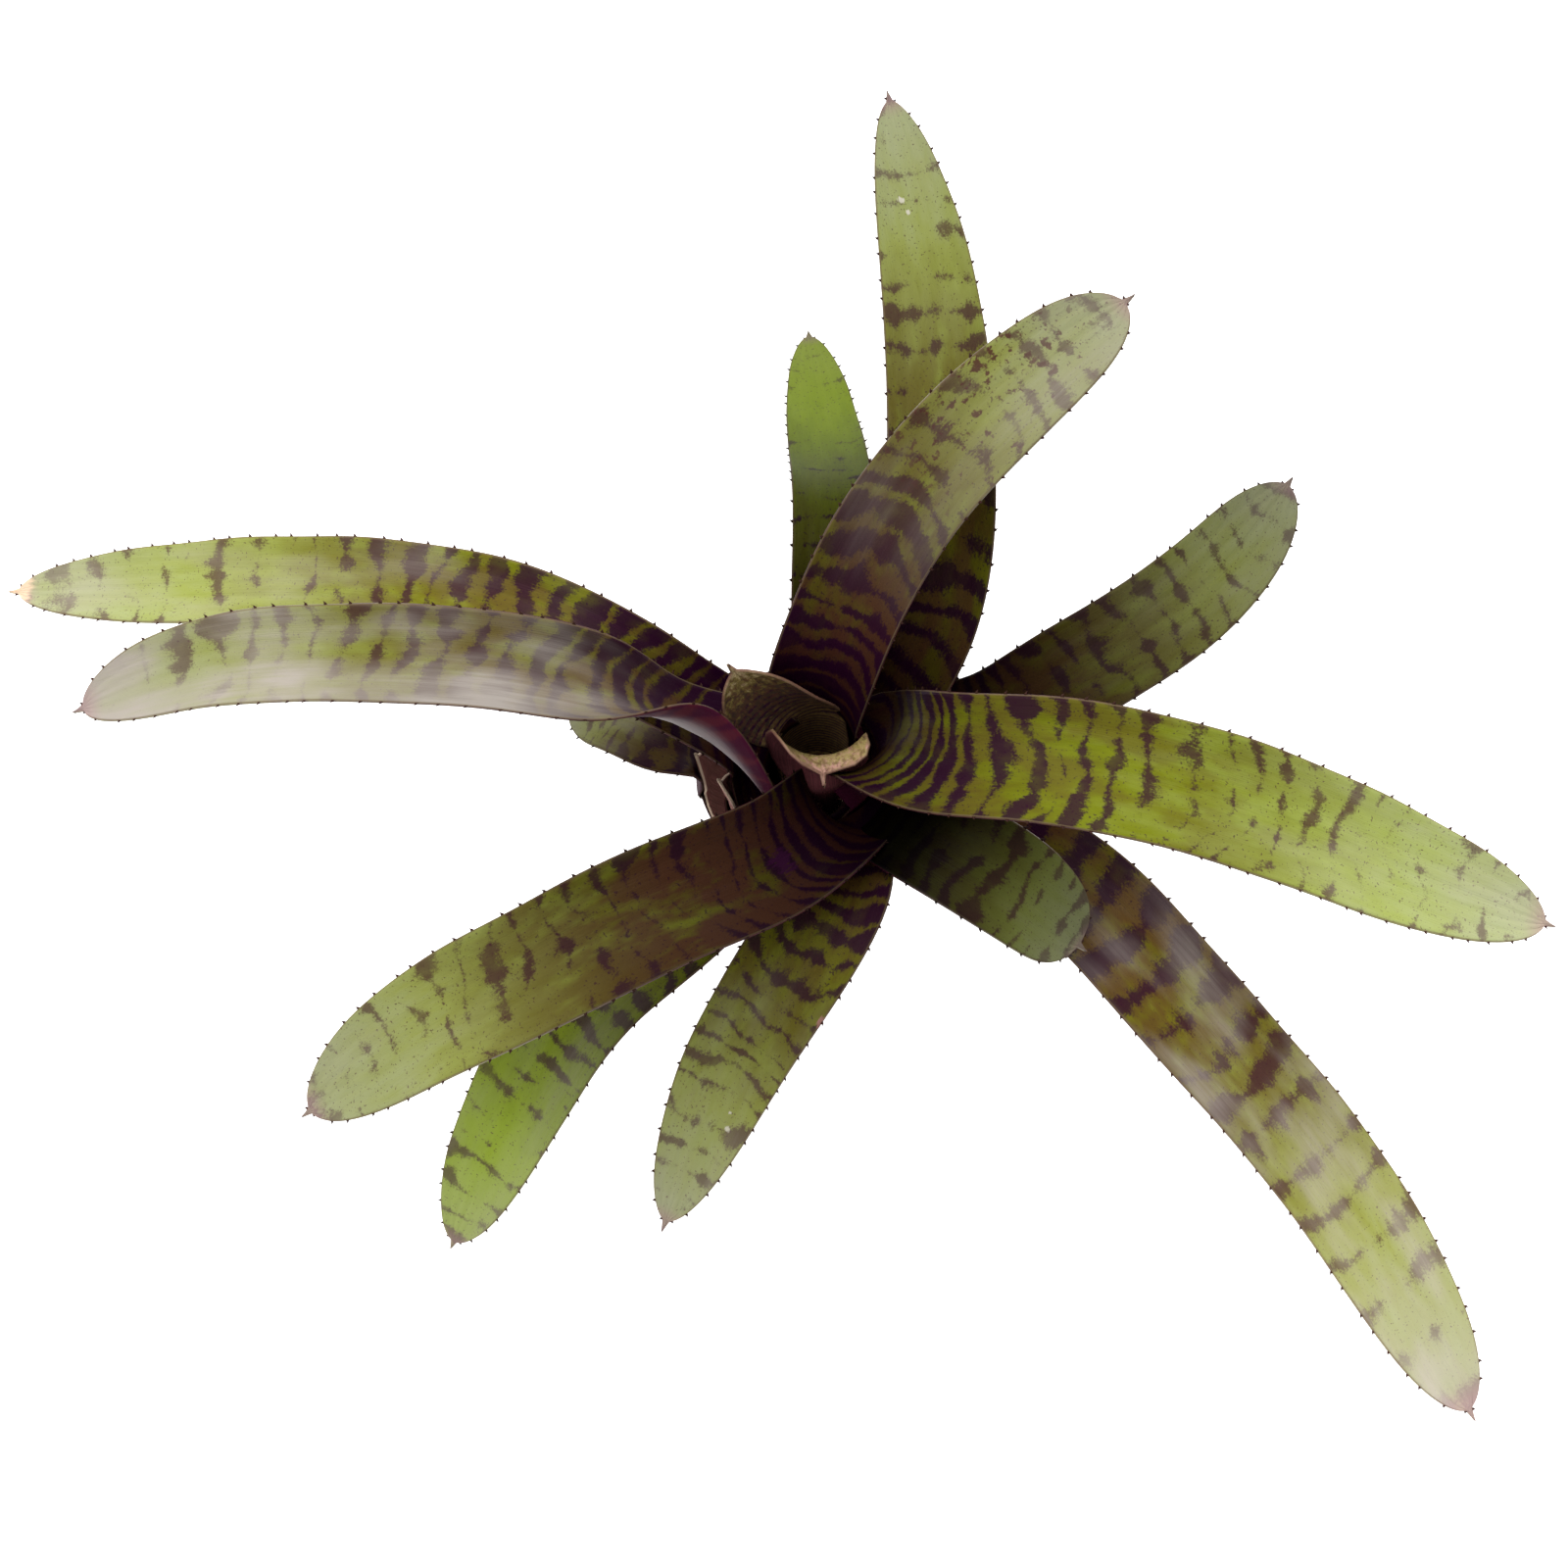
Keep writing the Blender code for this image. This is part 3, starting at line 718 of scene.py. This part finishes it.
class LeafPaint(Paint):
    """A paint that knows the place of each point on its leaf."""

    def __init__(self, leaf, seed):
        super().__init__(leaf.name + "_paint")
        self.seed = seed
        self.made = {}
        self.along = self.attribute("along")
        self.across = self.attribute("across")
        self.share = self.attribute("share")
        self.edge = self.attribute("edge")
        self.under = self.attribute("under")
        self.spine = self.attribute("spine")

    def noise_over(self, kind, across, along):
        """The noise of that kind over any two measures."""
        where = self.place(self.times(across, kind.across), self.times(along, kind.along),
                           self.seed + kind.seed)
        return self.noise(where, 1.0, kind.detail, kind.roughness)

    def field(self, kind):
        """The noise of that kind over the leaf, made only once."""
        if kind not in self.made:
            self.made[kind] = self.noise_over(kind, self.across, self.along)
        return self.made[kind]

    def mark(self, mark, ragged):
        """1 within a ragged round mark, and 0 outside it."""
        far = self.math("POWER", self.add(self.along, -mark.along), 2.0)
        wide = self.math("POWER", self.add(self.across, -mark.across), 2.0)
        distance = self.math("SQRT", self.add(far, self.times(wide, MARK_SQUEEZE)))
        distance = self.add(distance, self.swing(ragged, mark.radius * MARK_RAGGEDNESS))
        return self.step(distance, mark.radius, mark.radius * MARK_CORE)


def lerp_colour(a, b, t):
    return tuple(x + (y - x) * t for x, y in zip(a, b))


# Green of the blades, from the urn's mouth to the tip, and the noise that mottles it; its darkness at the
# mouth and paleness at the tip are partly the leaf's own colour and partly painted shade and light
GREENS_AT = (0.0, 0.12, 0.38, 0.72, 1.0)
OLIVE = ((0.040, 0.018, 0.004), (0.115, 0.075, 0.006), (0.19, 0.155, 0.012), (0.30, 0.29, 0.080),
         (0.38, 0.40, 0.20))
LIME = ((0.055, 0.042, 0.004), (0.15, 0.155, 0.006), (0.25, 0.31, 0.010), (0.41, 0.50, 0.115),
        (0.46, 0.52, 0.25))
VIVID = ((0.05, 0.05, 0.002), (0.12, 0.15, 0.002), (0.21, 0.30, 0.002), (0.36, 0.49, 0.008),
         (0.42, 0.54, 0.03))
MOTTLE = Field(0.22, 0.06, 0.0, 4.0, 0.6)
MOTTLE_SWING = 0.45

# Reddish brown clouds over the inner blade
BROWN = (0.125, 0.048, 0.022)
BLUSH = Field(0.12, 0.05, 11.0, 3.0, 0.6)
BLUSH_RANGE = (0.42, 0.64)
BLUSH_WIDENING = (-0.12, -0.10)  # times the look's blush
BLUSH_ENDS = (0.8, 0.3)

# Maroon base, which fades from a little inside the urn
MAROON = (0.065, 0.011, 0.016)
MAROON_SHARE = 0.75
MAROON_START = -6.0
LONGEST_BLADE = 240.0

# Cross bands: their spacing at the mouth, how fast it grows, and how far they bulge to the tip
BAND_SPACING = 4.8
BAND_GROWTH = 0.030
BAND_BULGE = 0.012
LEAST_GROWTH = 0.2  # keeps the logarithm's input above 0 deep in the urn
DRIFT = Field(0.045, 0.04, 1.0)
DRIFT_SWING = 2.8
JAG = Field(1.1, 0.16, 2.0, 3.0, 0.7)
JAG_SWING = 0.25
FRAY = Field(2.3, 0.8, 3.0, 2.0, 0.6)
FRAY_SWING = 0.50
GRAIN = Field(1.5, 1.3, 12.0, 3.0, 0.75)
GRAIN_SWING = 1.1

# How much of the blade the bands cover, whole near the urn and broken further out
COVER = ((0.0, 0.55), (0.2, 0.46), (0.4, 0.22), (0.62, 0.02), (1.0, 0.0))
SEGMENTS = Field(0.15, 3.7, 4.0, 2.0, 0.6)
SEGMENT_SWING = (0.55, 1.9)  # near the urn, and what is added further out
BREAKING = (0.05, 0.35)
WIDTHS = Field(3.3, 5.3, 5.0, 0.0)
WIDTH_SWING = 0.7
PATCHES = Field(0.05, 0.022, 6.0, 1.0)
PATCH_SWING = 0.9
NEAR_MARGIN = (5.0, 0.5)
MARGIN_COVER = 0.16
NEAR_TIP = (0.5, 0.9)
TIP_COVER = -0.06
BAND_EDGES = (0.24, -0.18)  # where a band's soft edge starts and ends, against its cover
DEPTH = Field(0.14, 0.10, 13.0)
DEPTH_LINE = (0.45, 1.2)

# Colour of the bands, and how strong they stay towards the tip
BAND_BASE = (0.028, 0.0015, 0.024)
BAND_TIP = (0.085, 0.024, 0.034)
BAND_COLOUR_CHANGE = (0.15, 0.75)
BAND_FADING = -0.30
FLECKS = Field(1.6, 1.3, 7.0, 1.0)
FLECK_RANGE = (0.66, 0.72)
FLECK_SHARE = 0.7

# Reddish speckles near a tip, more of them towards one margin
SPECKLE_RED = (0.11, 0.035, 0.03)
SPECKLES = Field(0.42, 0.36, 8.0, 3.0, 0.6)
SPECKLE_RANGE = (0.55, 0.64)
SPECKLE_START = (0.45, 0.6)
SPECKLE_END = (1.0, 0.85)
SPECKLE_SIDE = (3.0, -9.0)
SPECKLE_SIDE_LOSS = -0.07

# Whitish scurf, in long streaks and clouds
SCURF = (0.52, 0.47, 0.42)
STREAKS = Field(1.1, 0.03, 9.0, 4.0, 0.7)
CLOUDS = Field(0.09, 0.03, 10.0)
CLOUD_RANGE = (0.35, 0.75)
HAZE_STREAKS = (0.35, 1.1)
SIDE_RANGE = (-1.0, 7.0)
SIDE_STREAKS = (0.3, 0.8)
HAZE_BEFORE = -0.15  # the scurf begins this far before its place on the blade
HAZE_AFTER = 0.1  # and is full this far past it
TIP_HAZE_RANGE = (0.75, 1.0)
TIP_HAZE = 0.06
TIP_HAZE_GAIN = 0.6

# Margin, tip and spines
MARGIN = (0.25, 0.18, 0.10)
RIM_RANGE = (0.40, 0.05)
RIM_SHARE = 0.7
PINK = (0.48, 0.30, 0.32)
PINK_RANGE = (0.96, 1.0)
PINK_SHARE = 0.6
TAN = (0.86, 0.66, 0.48)
DEAD_TIP_SWING = 6.0
DEAD_TIP_FADE = 1.5
SPINE_BROWN = (0.07, 0.03, 0.024)

# Painted light and shade: how the blade lightens from the shaded mouth to the middle and on to the tip
MOUTH_LIGHT = 0.5
TO_MIDDLE = (0.0, 0.30)
TO_OUTER = (0.3, 0.8)

# Underside: maroon and silver near the urn, banded green further out
UNDER = (0.085, 0.012, 0.024)
UNDER_SCURF = (0.42, 0.38, 0.38)
SILVER_FROM_EDGE = (3.5, 10.5)
SILVER_STREAKS = (0.35, 0.9)
SILVER_START = (0.0, 45.0)
SILVER_START_LINE = (0.35, 0.65)
INNER_UNDER_BANDS = 0.5
OUTER_UNDER_BANDS = 0.8
OUTER_UNDER_STREAKS = (0.35, 0.4)
UNDER_CHANGE = (0.3, 0.7)

# Surface of the blades: bumps by their depth in metres and their strength, gloss, and light let through
VEINS = Field(2.6, 0.012, 9.0)
VEIN_HEIGHT = 0.7
PORES = Field(3.0, 1.2, 10.0, 3.0, 0.6)
PORE_HEIGHT = 0.25
LEAF_BUMP = (0.00028, 0.55)
LEAF_ROUGHNESS = 0.40
HAZE_ROUGHNESS = 0.35
PORE_ROUGHNESS = 0.12
LEAF_SPECULAR = 0.05
TRANSLUCENCE = 0.38
FIRST_SEED = 3.1
SEED_PER_LAYER = 7.3


def blade_green(p, look):
    """Mottled green that lightens to the tip, partly as painted light, with brown clouds and a maroon base.
    """
    tone = p.add(p.share, p.swing(p.field(MOTTLE), MOTTLE_SWING))
    beyond_lime = look.green > 1.0
    dull, bright = (LIME, VIVID) if beyond_lime else (OLIVE, LIME)
    tones = [lerp_colour(a, b, look.green - beyond_lime) for a, b in zip(dull, bright)]
    green = p.ramp(tone, list(zip(GREENS_AT, tones)))
    start, end = (at + look.blush * shift for at, shift in zip(BLUSH_RANGE, BLUSH_WIDENING))
    blush = p.times(p.step(p.field(BLUSH), start, end), p.step(p.share, *BLUSH_ENDS))
    green = p.mix(p.times(blush, look.blush), green, BROWN)
    fade = p.step(p.along, MAROON_START, LONGEST_BLADE * look.dark_base)
    return p.mix(p.times(p.line(fade, 1.0, -1.0), MAROON_SHARE), green, MAROON)


def band_order(p, look):
    """Counts the bands along the blade: whole numbers lie between two bands."""
    bulged = p.add(p.along, p.times(p.times(p.across, p.across), BAND_BULGE))
    grown = p.line(bulged, 1.0, BAND_GROWTH / (BAND_SPACING * look.spacing))
    grown = p.math("MAXIMUM", grown, LEAST_GROWTH)
    wander = p.add(p.swing(p.field(DRIFT), DRIFT_SWING / look.spacing), p.swing(p.field(JAG), JAG_SWING))
    return p.add(p.times(p.math("LOGARITHM", grown, math.e), 1.0 / BAND_GROWTH), wander)


def band_cover(p, look, which):
    """The share of the blade that the bands cover: it changes with the band and from place to place."""
    cover = p.ramp(p.share, [(at, (value, value, value)) for at, value in COVER])
    broken = p.line(p.step(p.share, *BREAKING), *SEGMENT_SWING)
    cover = p.add(cover, p.swing(p.noise_over(SEGMENTS, p.across, which), broken))
    cover = p.add(cover, p.swing(p.noise_over(WIDTHS, 1.0, which), WIDTH_SWING))
    cover = p.add(cover, p.swing(p.field(PATCHES), PATCH_SWING))
    cover = p.add(cover, p.times(p.step(p.edge, *NEAR_MARGIN), MARGIN_COVER))
    return p.add(cover, p.line(p.step(p.share, *NEAR_TIP), look.banding, TIP_COVER))


def dark_bands(p, look):
    """1 in a dark cross band and 0 between them, with frayed edges."""
    order = band_order(p, look)
    which = p.math("FLOOR", order)
    from_band = p.times(p.math("ABSOLUTE", p.add(p.math("FRACT", order), -0.5)), 2.0)
    frayed = p.add(p.swing(p.field(FRAY), FRAY_SWING), p.swing(p.field(GRAIN), GRAIN_SWING))
    from_band = p.add(from_band, frayed)
    cover = band_cover(p, look, which)
    outside, inside = BAND_EDGES
    bands = p.step(from_band, p.add(cover, outside), p.add(cover, inside))
    return p.times(bands, p.math("MINIMUM", 1.0, p.line(p.field(DEPTH), *DEPTH_LINE)))


def add_speckles(p, look, colour):
    """Reddish speckles near the tip."""
    noise = p.add(p.field(SPECKLES), p.times(p.step(p.across, *SPECKLE_SIDE), SPECKLE_SIDE_LOSS))
    specks = p.times(p.step(noise, *SPECKLE_RANGE), p.step(p.share, *SPECKLE_START))
    specks = p.times(specks, p.step(p.share, *SPECKLE_END))
    return p.mix(p.times(specks, look.speckle), colour, SPECKLE_RED)


def scurf_haze(p, look):
    """How much scurf lies over the blade, with more at the tip and maybe along one margin."""
    streaks = p.field(STREAKS)
    haze = p.times(p.step(p.field(CLOUDS), *CLOUD_RANGE), p.line(streaks, *HAZE_STREAKS))
    haze = p.times(haze, look.haze)
    if look.haze_side:
        aside = p.step(p.times(p.across, look.haze_side), *SIDE_RANGE)
        haze = p.add(haze, p.times(aside, p.times(p.line(streaks, *SIDE_STREAKS), look.haze)))
    haze = p.times(haze, p.step(p.share, look.haze_from + HAZE_BEFORE, look.haze_from + HAZE_AFTER))
    at_tip = TIP_HAZE + TIP_HAZE_GAIN * look.haze
    return p.add(haze, p.times(p.step(p.share, *TIP_HAZE_RANGE), at_tip))


def add_dead_tip(p, leaf, look, colour):
    """A dry, tan tip with a ragged border."""
    length = float(lengths_along(blade_midline(leaf, sheath_line(leaf)))[-1])
    ragged = p.add(p.along, p.swing(p.field(JAG), DEAD_TIP_SWING))
    border = length - look.dead_tip
    return p.mix(p.step(ragged, border - DEAD_TIP_FADE, border + DEAD_TIP_FADE), colour, TAN)


def add_ends(p, leaf, look, colour):
    """The thin rim, the scars, the pink or dead tip, and the spines."""
    colour = p.mix(p.times(p.step(p.edge, *RIM_RANGE), RIM_SHARE), colour, MARGIN)
    for mark in look.marks:
        colour = p.mix(p.mark(mark, p.field(JAG)), colour, mark.colour)
    colour = p.mix(p.times(p.step(p.share, *PINK_RANGE), PINK_SHARE), colour, PINK)
    if look.dead_tip:
        colour = add_dead_tip(p, leaf, look, colour)
    return p.mix(p.spine, colour, SPINE_BROWN)


def blade_light(p, look):
    """How light the blade is, as painted light and shade: dim at the mouth, where the other leaves shade it,
    and lighter towards the tip, where light comes through.
    """
    light = p.line(p.step(p.share, *TO_MIDDLE), look.shade * MOUTH_LIGHT, look.shade * (1.0 - MOUTH_LIGHT))
    return p.add(light, p.times(p.step(p.share, *TO_OUTER), look.bright - look.shade))


def underside(p, green, bands, band_colour):
    """Maroon with silver scurf near the urn, and a paler copy of the top further out."""
    streaks = p.field(STREAKS)
    silver = p.times(p.step(p.edge, *SILVER_FROM_EDGE), p.line(streaks, *SILVER_STREAKS))
    silver = p.times(silver, p.line(p.step(p.along, *SILVER_START), *SILVER_START_LINE))
    inner = p.mix(p.times(bands, INNER_UNDER_BANDS), UNDER, BAND_BASE)
    inner = p.mix(silver, inner, UNDER_SCURF)
    outer = p.mix(p.times(bands, OUTER_UNDER_BANDS), green, band_colour)
    outer = p.mix(p.line(streaks, *OUTER_UNDER_STREAKS), outer, UNDER_SCURF)
    return p.mix(p.step(p.share, *UNDER_CHANGE), inner, outer)


def blade_surface(p, colour, haze):
    """Finely veined skin, duller under scurf, that lets some light through."""
    pores = p.field(PORES)
    height = p.add(p.times(p.field(VEINS), VEIN_HEIGHT), p.times(pores, PORE_HEIGHT))
    normal = p.bump(height, *LEAF_BUMP)
    dullness = p.add(p.times(haze, HAZE_ROUGHNESS), p.times(pores, PORE_ROUGHNESS))
    skin = p.skin(colour, normal, p.add(LEAF_ROUGHNESS, dullness), LEAF_SPECULAR)
    glow = p.node("ShaderNodeBsdfTranslucent", values={"Color": colour, "Normal": normal})
    both = p.node("ShaderNodeMixShader")
    both.inputs[0].default_value = TRANSLUCENCE
    p.tree.links.new(skin, both.inputs[1])
    p.tree.links.new(glow.outputs[0], both.inputs[2])
    return both.outputs[0]


def leaf_material(leaf):
    """Banded leaf skin: green that fades to maroon at the base, broken dark cross bands, and scurf."""
    look = LOOKS[leaf.name]
    p = LeafPaint(leaf, FIRST_SEED + SEED_PER_LAYER * leaf.layer)
    green = blade_green(p, look)
    bands = dark_bands(p, look)
    band_colour = p.mix(p.step(p.share, *BAND_COLOUR_CHANGE), BAND_BASE, BAND_TIP)
    colour = p.mix(p.times(bands, p.line(p.share, 1.0, BAND_FADING)), green, band_colour)
    colour = p.mix(p.times(p.step(p.field(FLECKS), *FLECK_RANGE), FLECK_SHARE), colour, band_colour)
    if look.speckle:
        colour = add_speckles(p, look, colour)
    haze = scurf_haze(p, look)
    colour = add_ends(p, leaf, look, p.mix(haze, colour, SCURF))
    # painted light and shade scale the blade's colour
    colour = p.scaled(colour, blade_light(p, look))
    colour = p.mix(p.under, colour, underside(p, green, bands, band_colour))
    return p.finish(blade_surface(p, colour, haze))


# The innermost leaves: tones from the urn's mouth to the tip, fine bands low inside, and specks
# Painted light: the tones at the urn's mouth and below are raised to lighten the shaded inside of the cup
HEART_TONES = {
    "heart_leaf_front": ((0.0, (0.28, 0.19, 0.06)), (0.40, (0.22, 0.15, 0.045)),
                         (0.60, (0.20, 0.17, 0.040)), (0.82, (0.30, 0.22, 0.09)), (1.0, (0.40, 0.22, 0.17))),
    "heart_leaf_left": ((0.0, (0.26, 0.17, 0.06)), (0.45, (0.045, 0.032, 0.024)),
                        (0.70, (0.070, 0.038, 0.022)), (0.90, (0.20, 0.15, 0.04)), (1.0, (0.40, 0.31, 0.16))),
}
HEART_SEED = 51.0
HEART_SEED_PER_LAYER = 5.0
HEART_MOTTLE = Field(0.5, 0.5, 0.0, 4.0, 0.7)
HEART_TONE_SWING = 1.3
HEART_BANDS = 2.4
HEART_BAND_WAVER = 5.0
HEART_BAND_RANGE = (0.0, 0.8)
HEART_BAND_END = (0.75, 0.45)
HEART_SPECKS = Field(0.6, 0.6, 3.0, 4.0, 0.75)
HEART_SPECK_RANGE = (0.47, 0.58)
HEART_SPECK_SHARE = 0.60
HEART_SPECK_BROWN = (0.11, 0.045, 0.025)
HEART_LINES = Field(3.4, 0.05, 4.0, 3.0, 0.7)
HEART_LINE_RANGE = (0.35, 0.7)
HEART_DARK_MAROON = (0.07, 0.008, 0.018)
HEART_MAROON = (0.17, 0.035, 0.05)
HEART_SCURF = (0.26, 0.16, 0.12)
HEART_SCURF_SHARE = 0.25
HEART_RIM = (0.17, 0.10, 0.06)
HEART_RIM_RANGE = (0.6, 0.1)
HEART_RIM_SHARE = 0.6
HEART_VEINS = Field(2.4, 0.03, 2.0, 3.0)
HEART_BUMP = (0.0003, 0.6)
HEART_ROUGHNESS = 0.5
HEART_SPECULAR = 0.25


def heart_material(leaf):
    """The innermost leaves: olive to cream inside the tips, dark below, and finely lined maroon outside."""
    p = LeafPaint(leaf, HEART_SEED + leaf.layer * HEART_SEED_PER_LAYER)
    mottle = p.field(HEART_MOTTLE)
    tone = p.add(p.share, p.swing(mottle, HEART_TONE_SWING))
    wave = p.add(p.times(p.along, 2.0 * math.pi / HEART_BANDS), p.times(mottle, HEART_BAND_WAVER))
    bands = p.times(p.step(p.math("SINE", wave), *HEART_BAND_RANGE), p.step(tone, *HEART_BAND_END))
    specks = p.step(p.field(HEART_SPECKS), *HEART_SPECK_RANGE)
    inside = p.mix(bands, p.ramp(tone, HEART_TONES[leaf.name]), BAND_BASE)
    inside = p.mix(p.times(specks, HEART_SPECK_SHARE), inside, HEART_SPECK_BROWN)
    outside = p.mix(p.step(p.field(HEART_LINES), *HEART_LINE_RANGE), HEART_DARK_MAROON, HEART_MAROON)
    outside = p.mix(p.times(mottle, HEART_SCURF_SHARE), outside, HEART_SCURF)
    colour = p.mix(p.under, inside, outside)
    colour = p.mix(p.times(p.step(p.edge, *HEART_RIM_RANGE), HEART_RIM_SHARE), colour, HEART_RIM)
    normal = p.bump(p.field(HEART_VEINS), *HEART_BUMP)
    return p.finish(p.skin(colour, normal, HEART_ROUGHNESS, HEART_SPECULAR))


# The withered scales
DRY_SEED = 77.0
DRY_FIBRES = Field(1.8, 0.06, 0.0, 4.0, 0.65)
DRY_DARK = (0.10, 0.022, 0.022)
DRY_LIGHT = (0.34, 0.14, 0.12)
DRY_BLOTCHES = Field(0.2, 0.15, 1.0, 3.0)
DRY_BLOTCH_BROWN = (0.16, 0.08, 0.05)
DRY_BLOTCH_SHARE = 0.5
DRY_RIM = (0.50, 0.38, 0.28)
DRY_RIM_RANGE = (0.45, 0.1)
DRY_BUMP = (0.0004, 0.8)
DRY_ROUGHNESS = 0.75
DRY_SPECULAR = 0.2


def dry_material(leaf):
    """Papery dry skin, reddish brown with a thin pale margin."""
    p = LeafPaint(leaf, DRY_SEED + leaf.layer)
    fibres = p.field(DRY_FIBRES)
    colour = p.mix(fibres, DRY_DARK, DRY_LIGHT)
    colour = p.mix(p.times(p.field(DRY_BLOTCHES), DRY_BLOTCH_SHARE), colour, DRY_BLOTCH_BROWN)
    colour = p.mix(p.step(p.edge, *DRY_RIM_RANGE), colour, DRY_RIM)
    normal = p.bump(fibres, *DRY_BUMP)
    return p.finish(p.skin(colour, normal, DRY_ROUGHNESS, DRY_SPECULAR))


# The stem's bark: noises by how often they change in a metre, and their detail
BARK_COARSE = (220.0, 6.0)
BARK_FINE = (1400.0, 3.0)
BARK_FINE_HEIGHT = 0.4
BARK_TONES = ((0.3, (0.06, 0.035, 0.02)), (0.55, (0.20, 0.13, 0.075)), (0.8, (0.36, 0.27, 0.18)))
BARK_BUMP = (0.0008, 0.9)
BARK_ROUGHNESS = 0.85
BARK_SPECULAR = 0.5


def stem_material():
    """Rough fibrous bark in noisy dark and pale browns."""
    p = Paint("stem_paint")
    where = p.node("ShaderNodeTexCoord").outputs["Object"]
    coarse = p.noise(where, *BARK_COARSE)
    fine = p.noise(where, *BARK_FINE)
    normal = p.bump(p.add(coarse, p.times(fine, BARK_FINE_HEIGHT)), *BARK_BUMP)
    return p.finish(p.skin(p.ramp(coarse, BARK_TONES), normal, BARK_ROUGHNESS, BARK_SPECULAR))


MATERIALS = {"leaf": leaf_material, "heart": heart_material, "dry_scale": dry_material}


def make_leaf(leaf, low, high):
    """A finely made leaf in its solid's place."""
    mesh = leaf_mesh(leaf)
    clamp_into(mesh, low, high)
    piece = bpy.data.objects.new(leaf.name + "_skin", mesh)
    bpy.context.scene.collection.objects.link(piece)
    mesh.materials.append(MATERIALS[leaf.slot](leaf))
    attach(piece, "root")
    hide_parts(leaf.name)


def dress_stem():
    stem = bpy.data.objects["stem"]
    stem.data.materials.clear()
    stem.data.materials.append(stem_material())


def make_floor():
    """A plain pale floor that glows a little, as a lit table does."""
    half = FLOOR_HALF_WIDTH
    mesh = bpy.data.meshes.new("floor")
    corners = [(-half, -half, 0.0), (half, -half, 0.0), (half, half, 0.0), (-half, half, 0.0)]
    mesh.from_pydata(corners, [], [(0, 1, 2, 3)])
    floor = bpy.data.objects.new("floor", mesh)
    bpy.context.scene.collection.objects.link(floor)
    p = Paint("floor_paint")
    skin = p.node("ShaderNodeBsdfPrincipled",
                  values={"Base Color": FLOOR_WHITE, "Roughness": FLOOR_ROUGHNESS,
                          "Specular IOR Level": FLOOR_SPECULAR, "Emission Color": WHITE,
                          "Emission Strength": FLOOR_GLOW})
    mesh.materials.append(p.finish(skin.outputs[0]))


def make_lights():
    """A large soft light overhead, a smaller one behind, and a pale surround."""
    for lamp in LAMPS:
        data = bpy.data.lights.new(lamp.name, "AREA")
        data.size = lamp.size
        data.energy = lamp.power
        light = bpy.data.objects.new(lamp.name, data)
        light.location = lamp.place
        aim = Vector(LAMP_AIM) - light.location
        light.rotation_euler = aim.to_track_quat("-Z", "Y").to_euler()
        bpy.context.scene.collection.objects.link(light)
    world = bpy.data.worlds.new("surround")
    world.use_nodes = True
    surround = world.node_tree.nodes["Background"]
    surround.inputs["Color"].default_value = (*WHITE, 1.0)
    surround.inputs["Strength"].default_value = SURROUND_STRENGTH
    bpy.context.scene.world = world


def make_camera():
    """Looks down at the rosette from a little towards the near side."""
    data = bpy.data.cameras.new("camera")
    data.sensor_width = SENSOR_WIDTH
    data.lens = SENSOR_WIDTH * VIEW_DISTANCE / FRAME_WIDTH
    camera = bpy.data.objects.new("camera", data)
    back = Vector((0.0, -math.sin(VIEW_TILT), math.cos(VIEW_TILT))) * VIEW_DISTANCE
    camera.location = (Vector(VIEW_AIM) + back) * MM
    camera.rotation_euler = (VIEW_TILT, 0.0, 0.0)
    bpy.context.scene.collection.objects.link(camera)
    bpy.context.scene.camera = camera


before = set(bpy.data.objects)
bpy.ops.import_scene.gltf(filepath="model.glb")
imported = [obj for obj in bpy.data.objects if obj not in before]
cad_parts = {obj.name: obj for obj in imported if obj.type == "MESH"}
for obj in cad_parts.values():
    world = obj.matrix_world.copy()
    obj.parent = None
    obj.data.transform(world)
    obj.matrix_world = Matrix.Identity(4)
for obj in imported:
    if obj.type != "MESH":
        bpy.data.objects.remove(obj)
cad_low, cad_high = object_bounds()
for each in LEAVES:
    make_leaf(each, cad_low, cad_high)
dress_stem()
make_floor()
make_lights()
make_camera()
bpy.context.scene.view_settings.view_transform = "Standard"
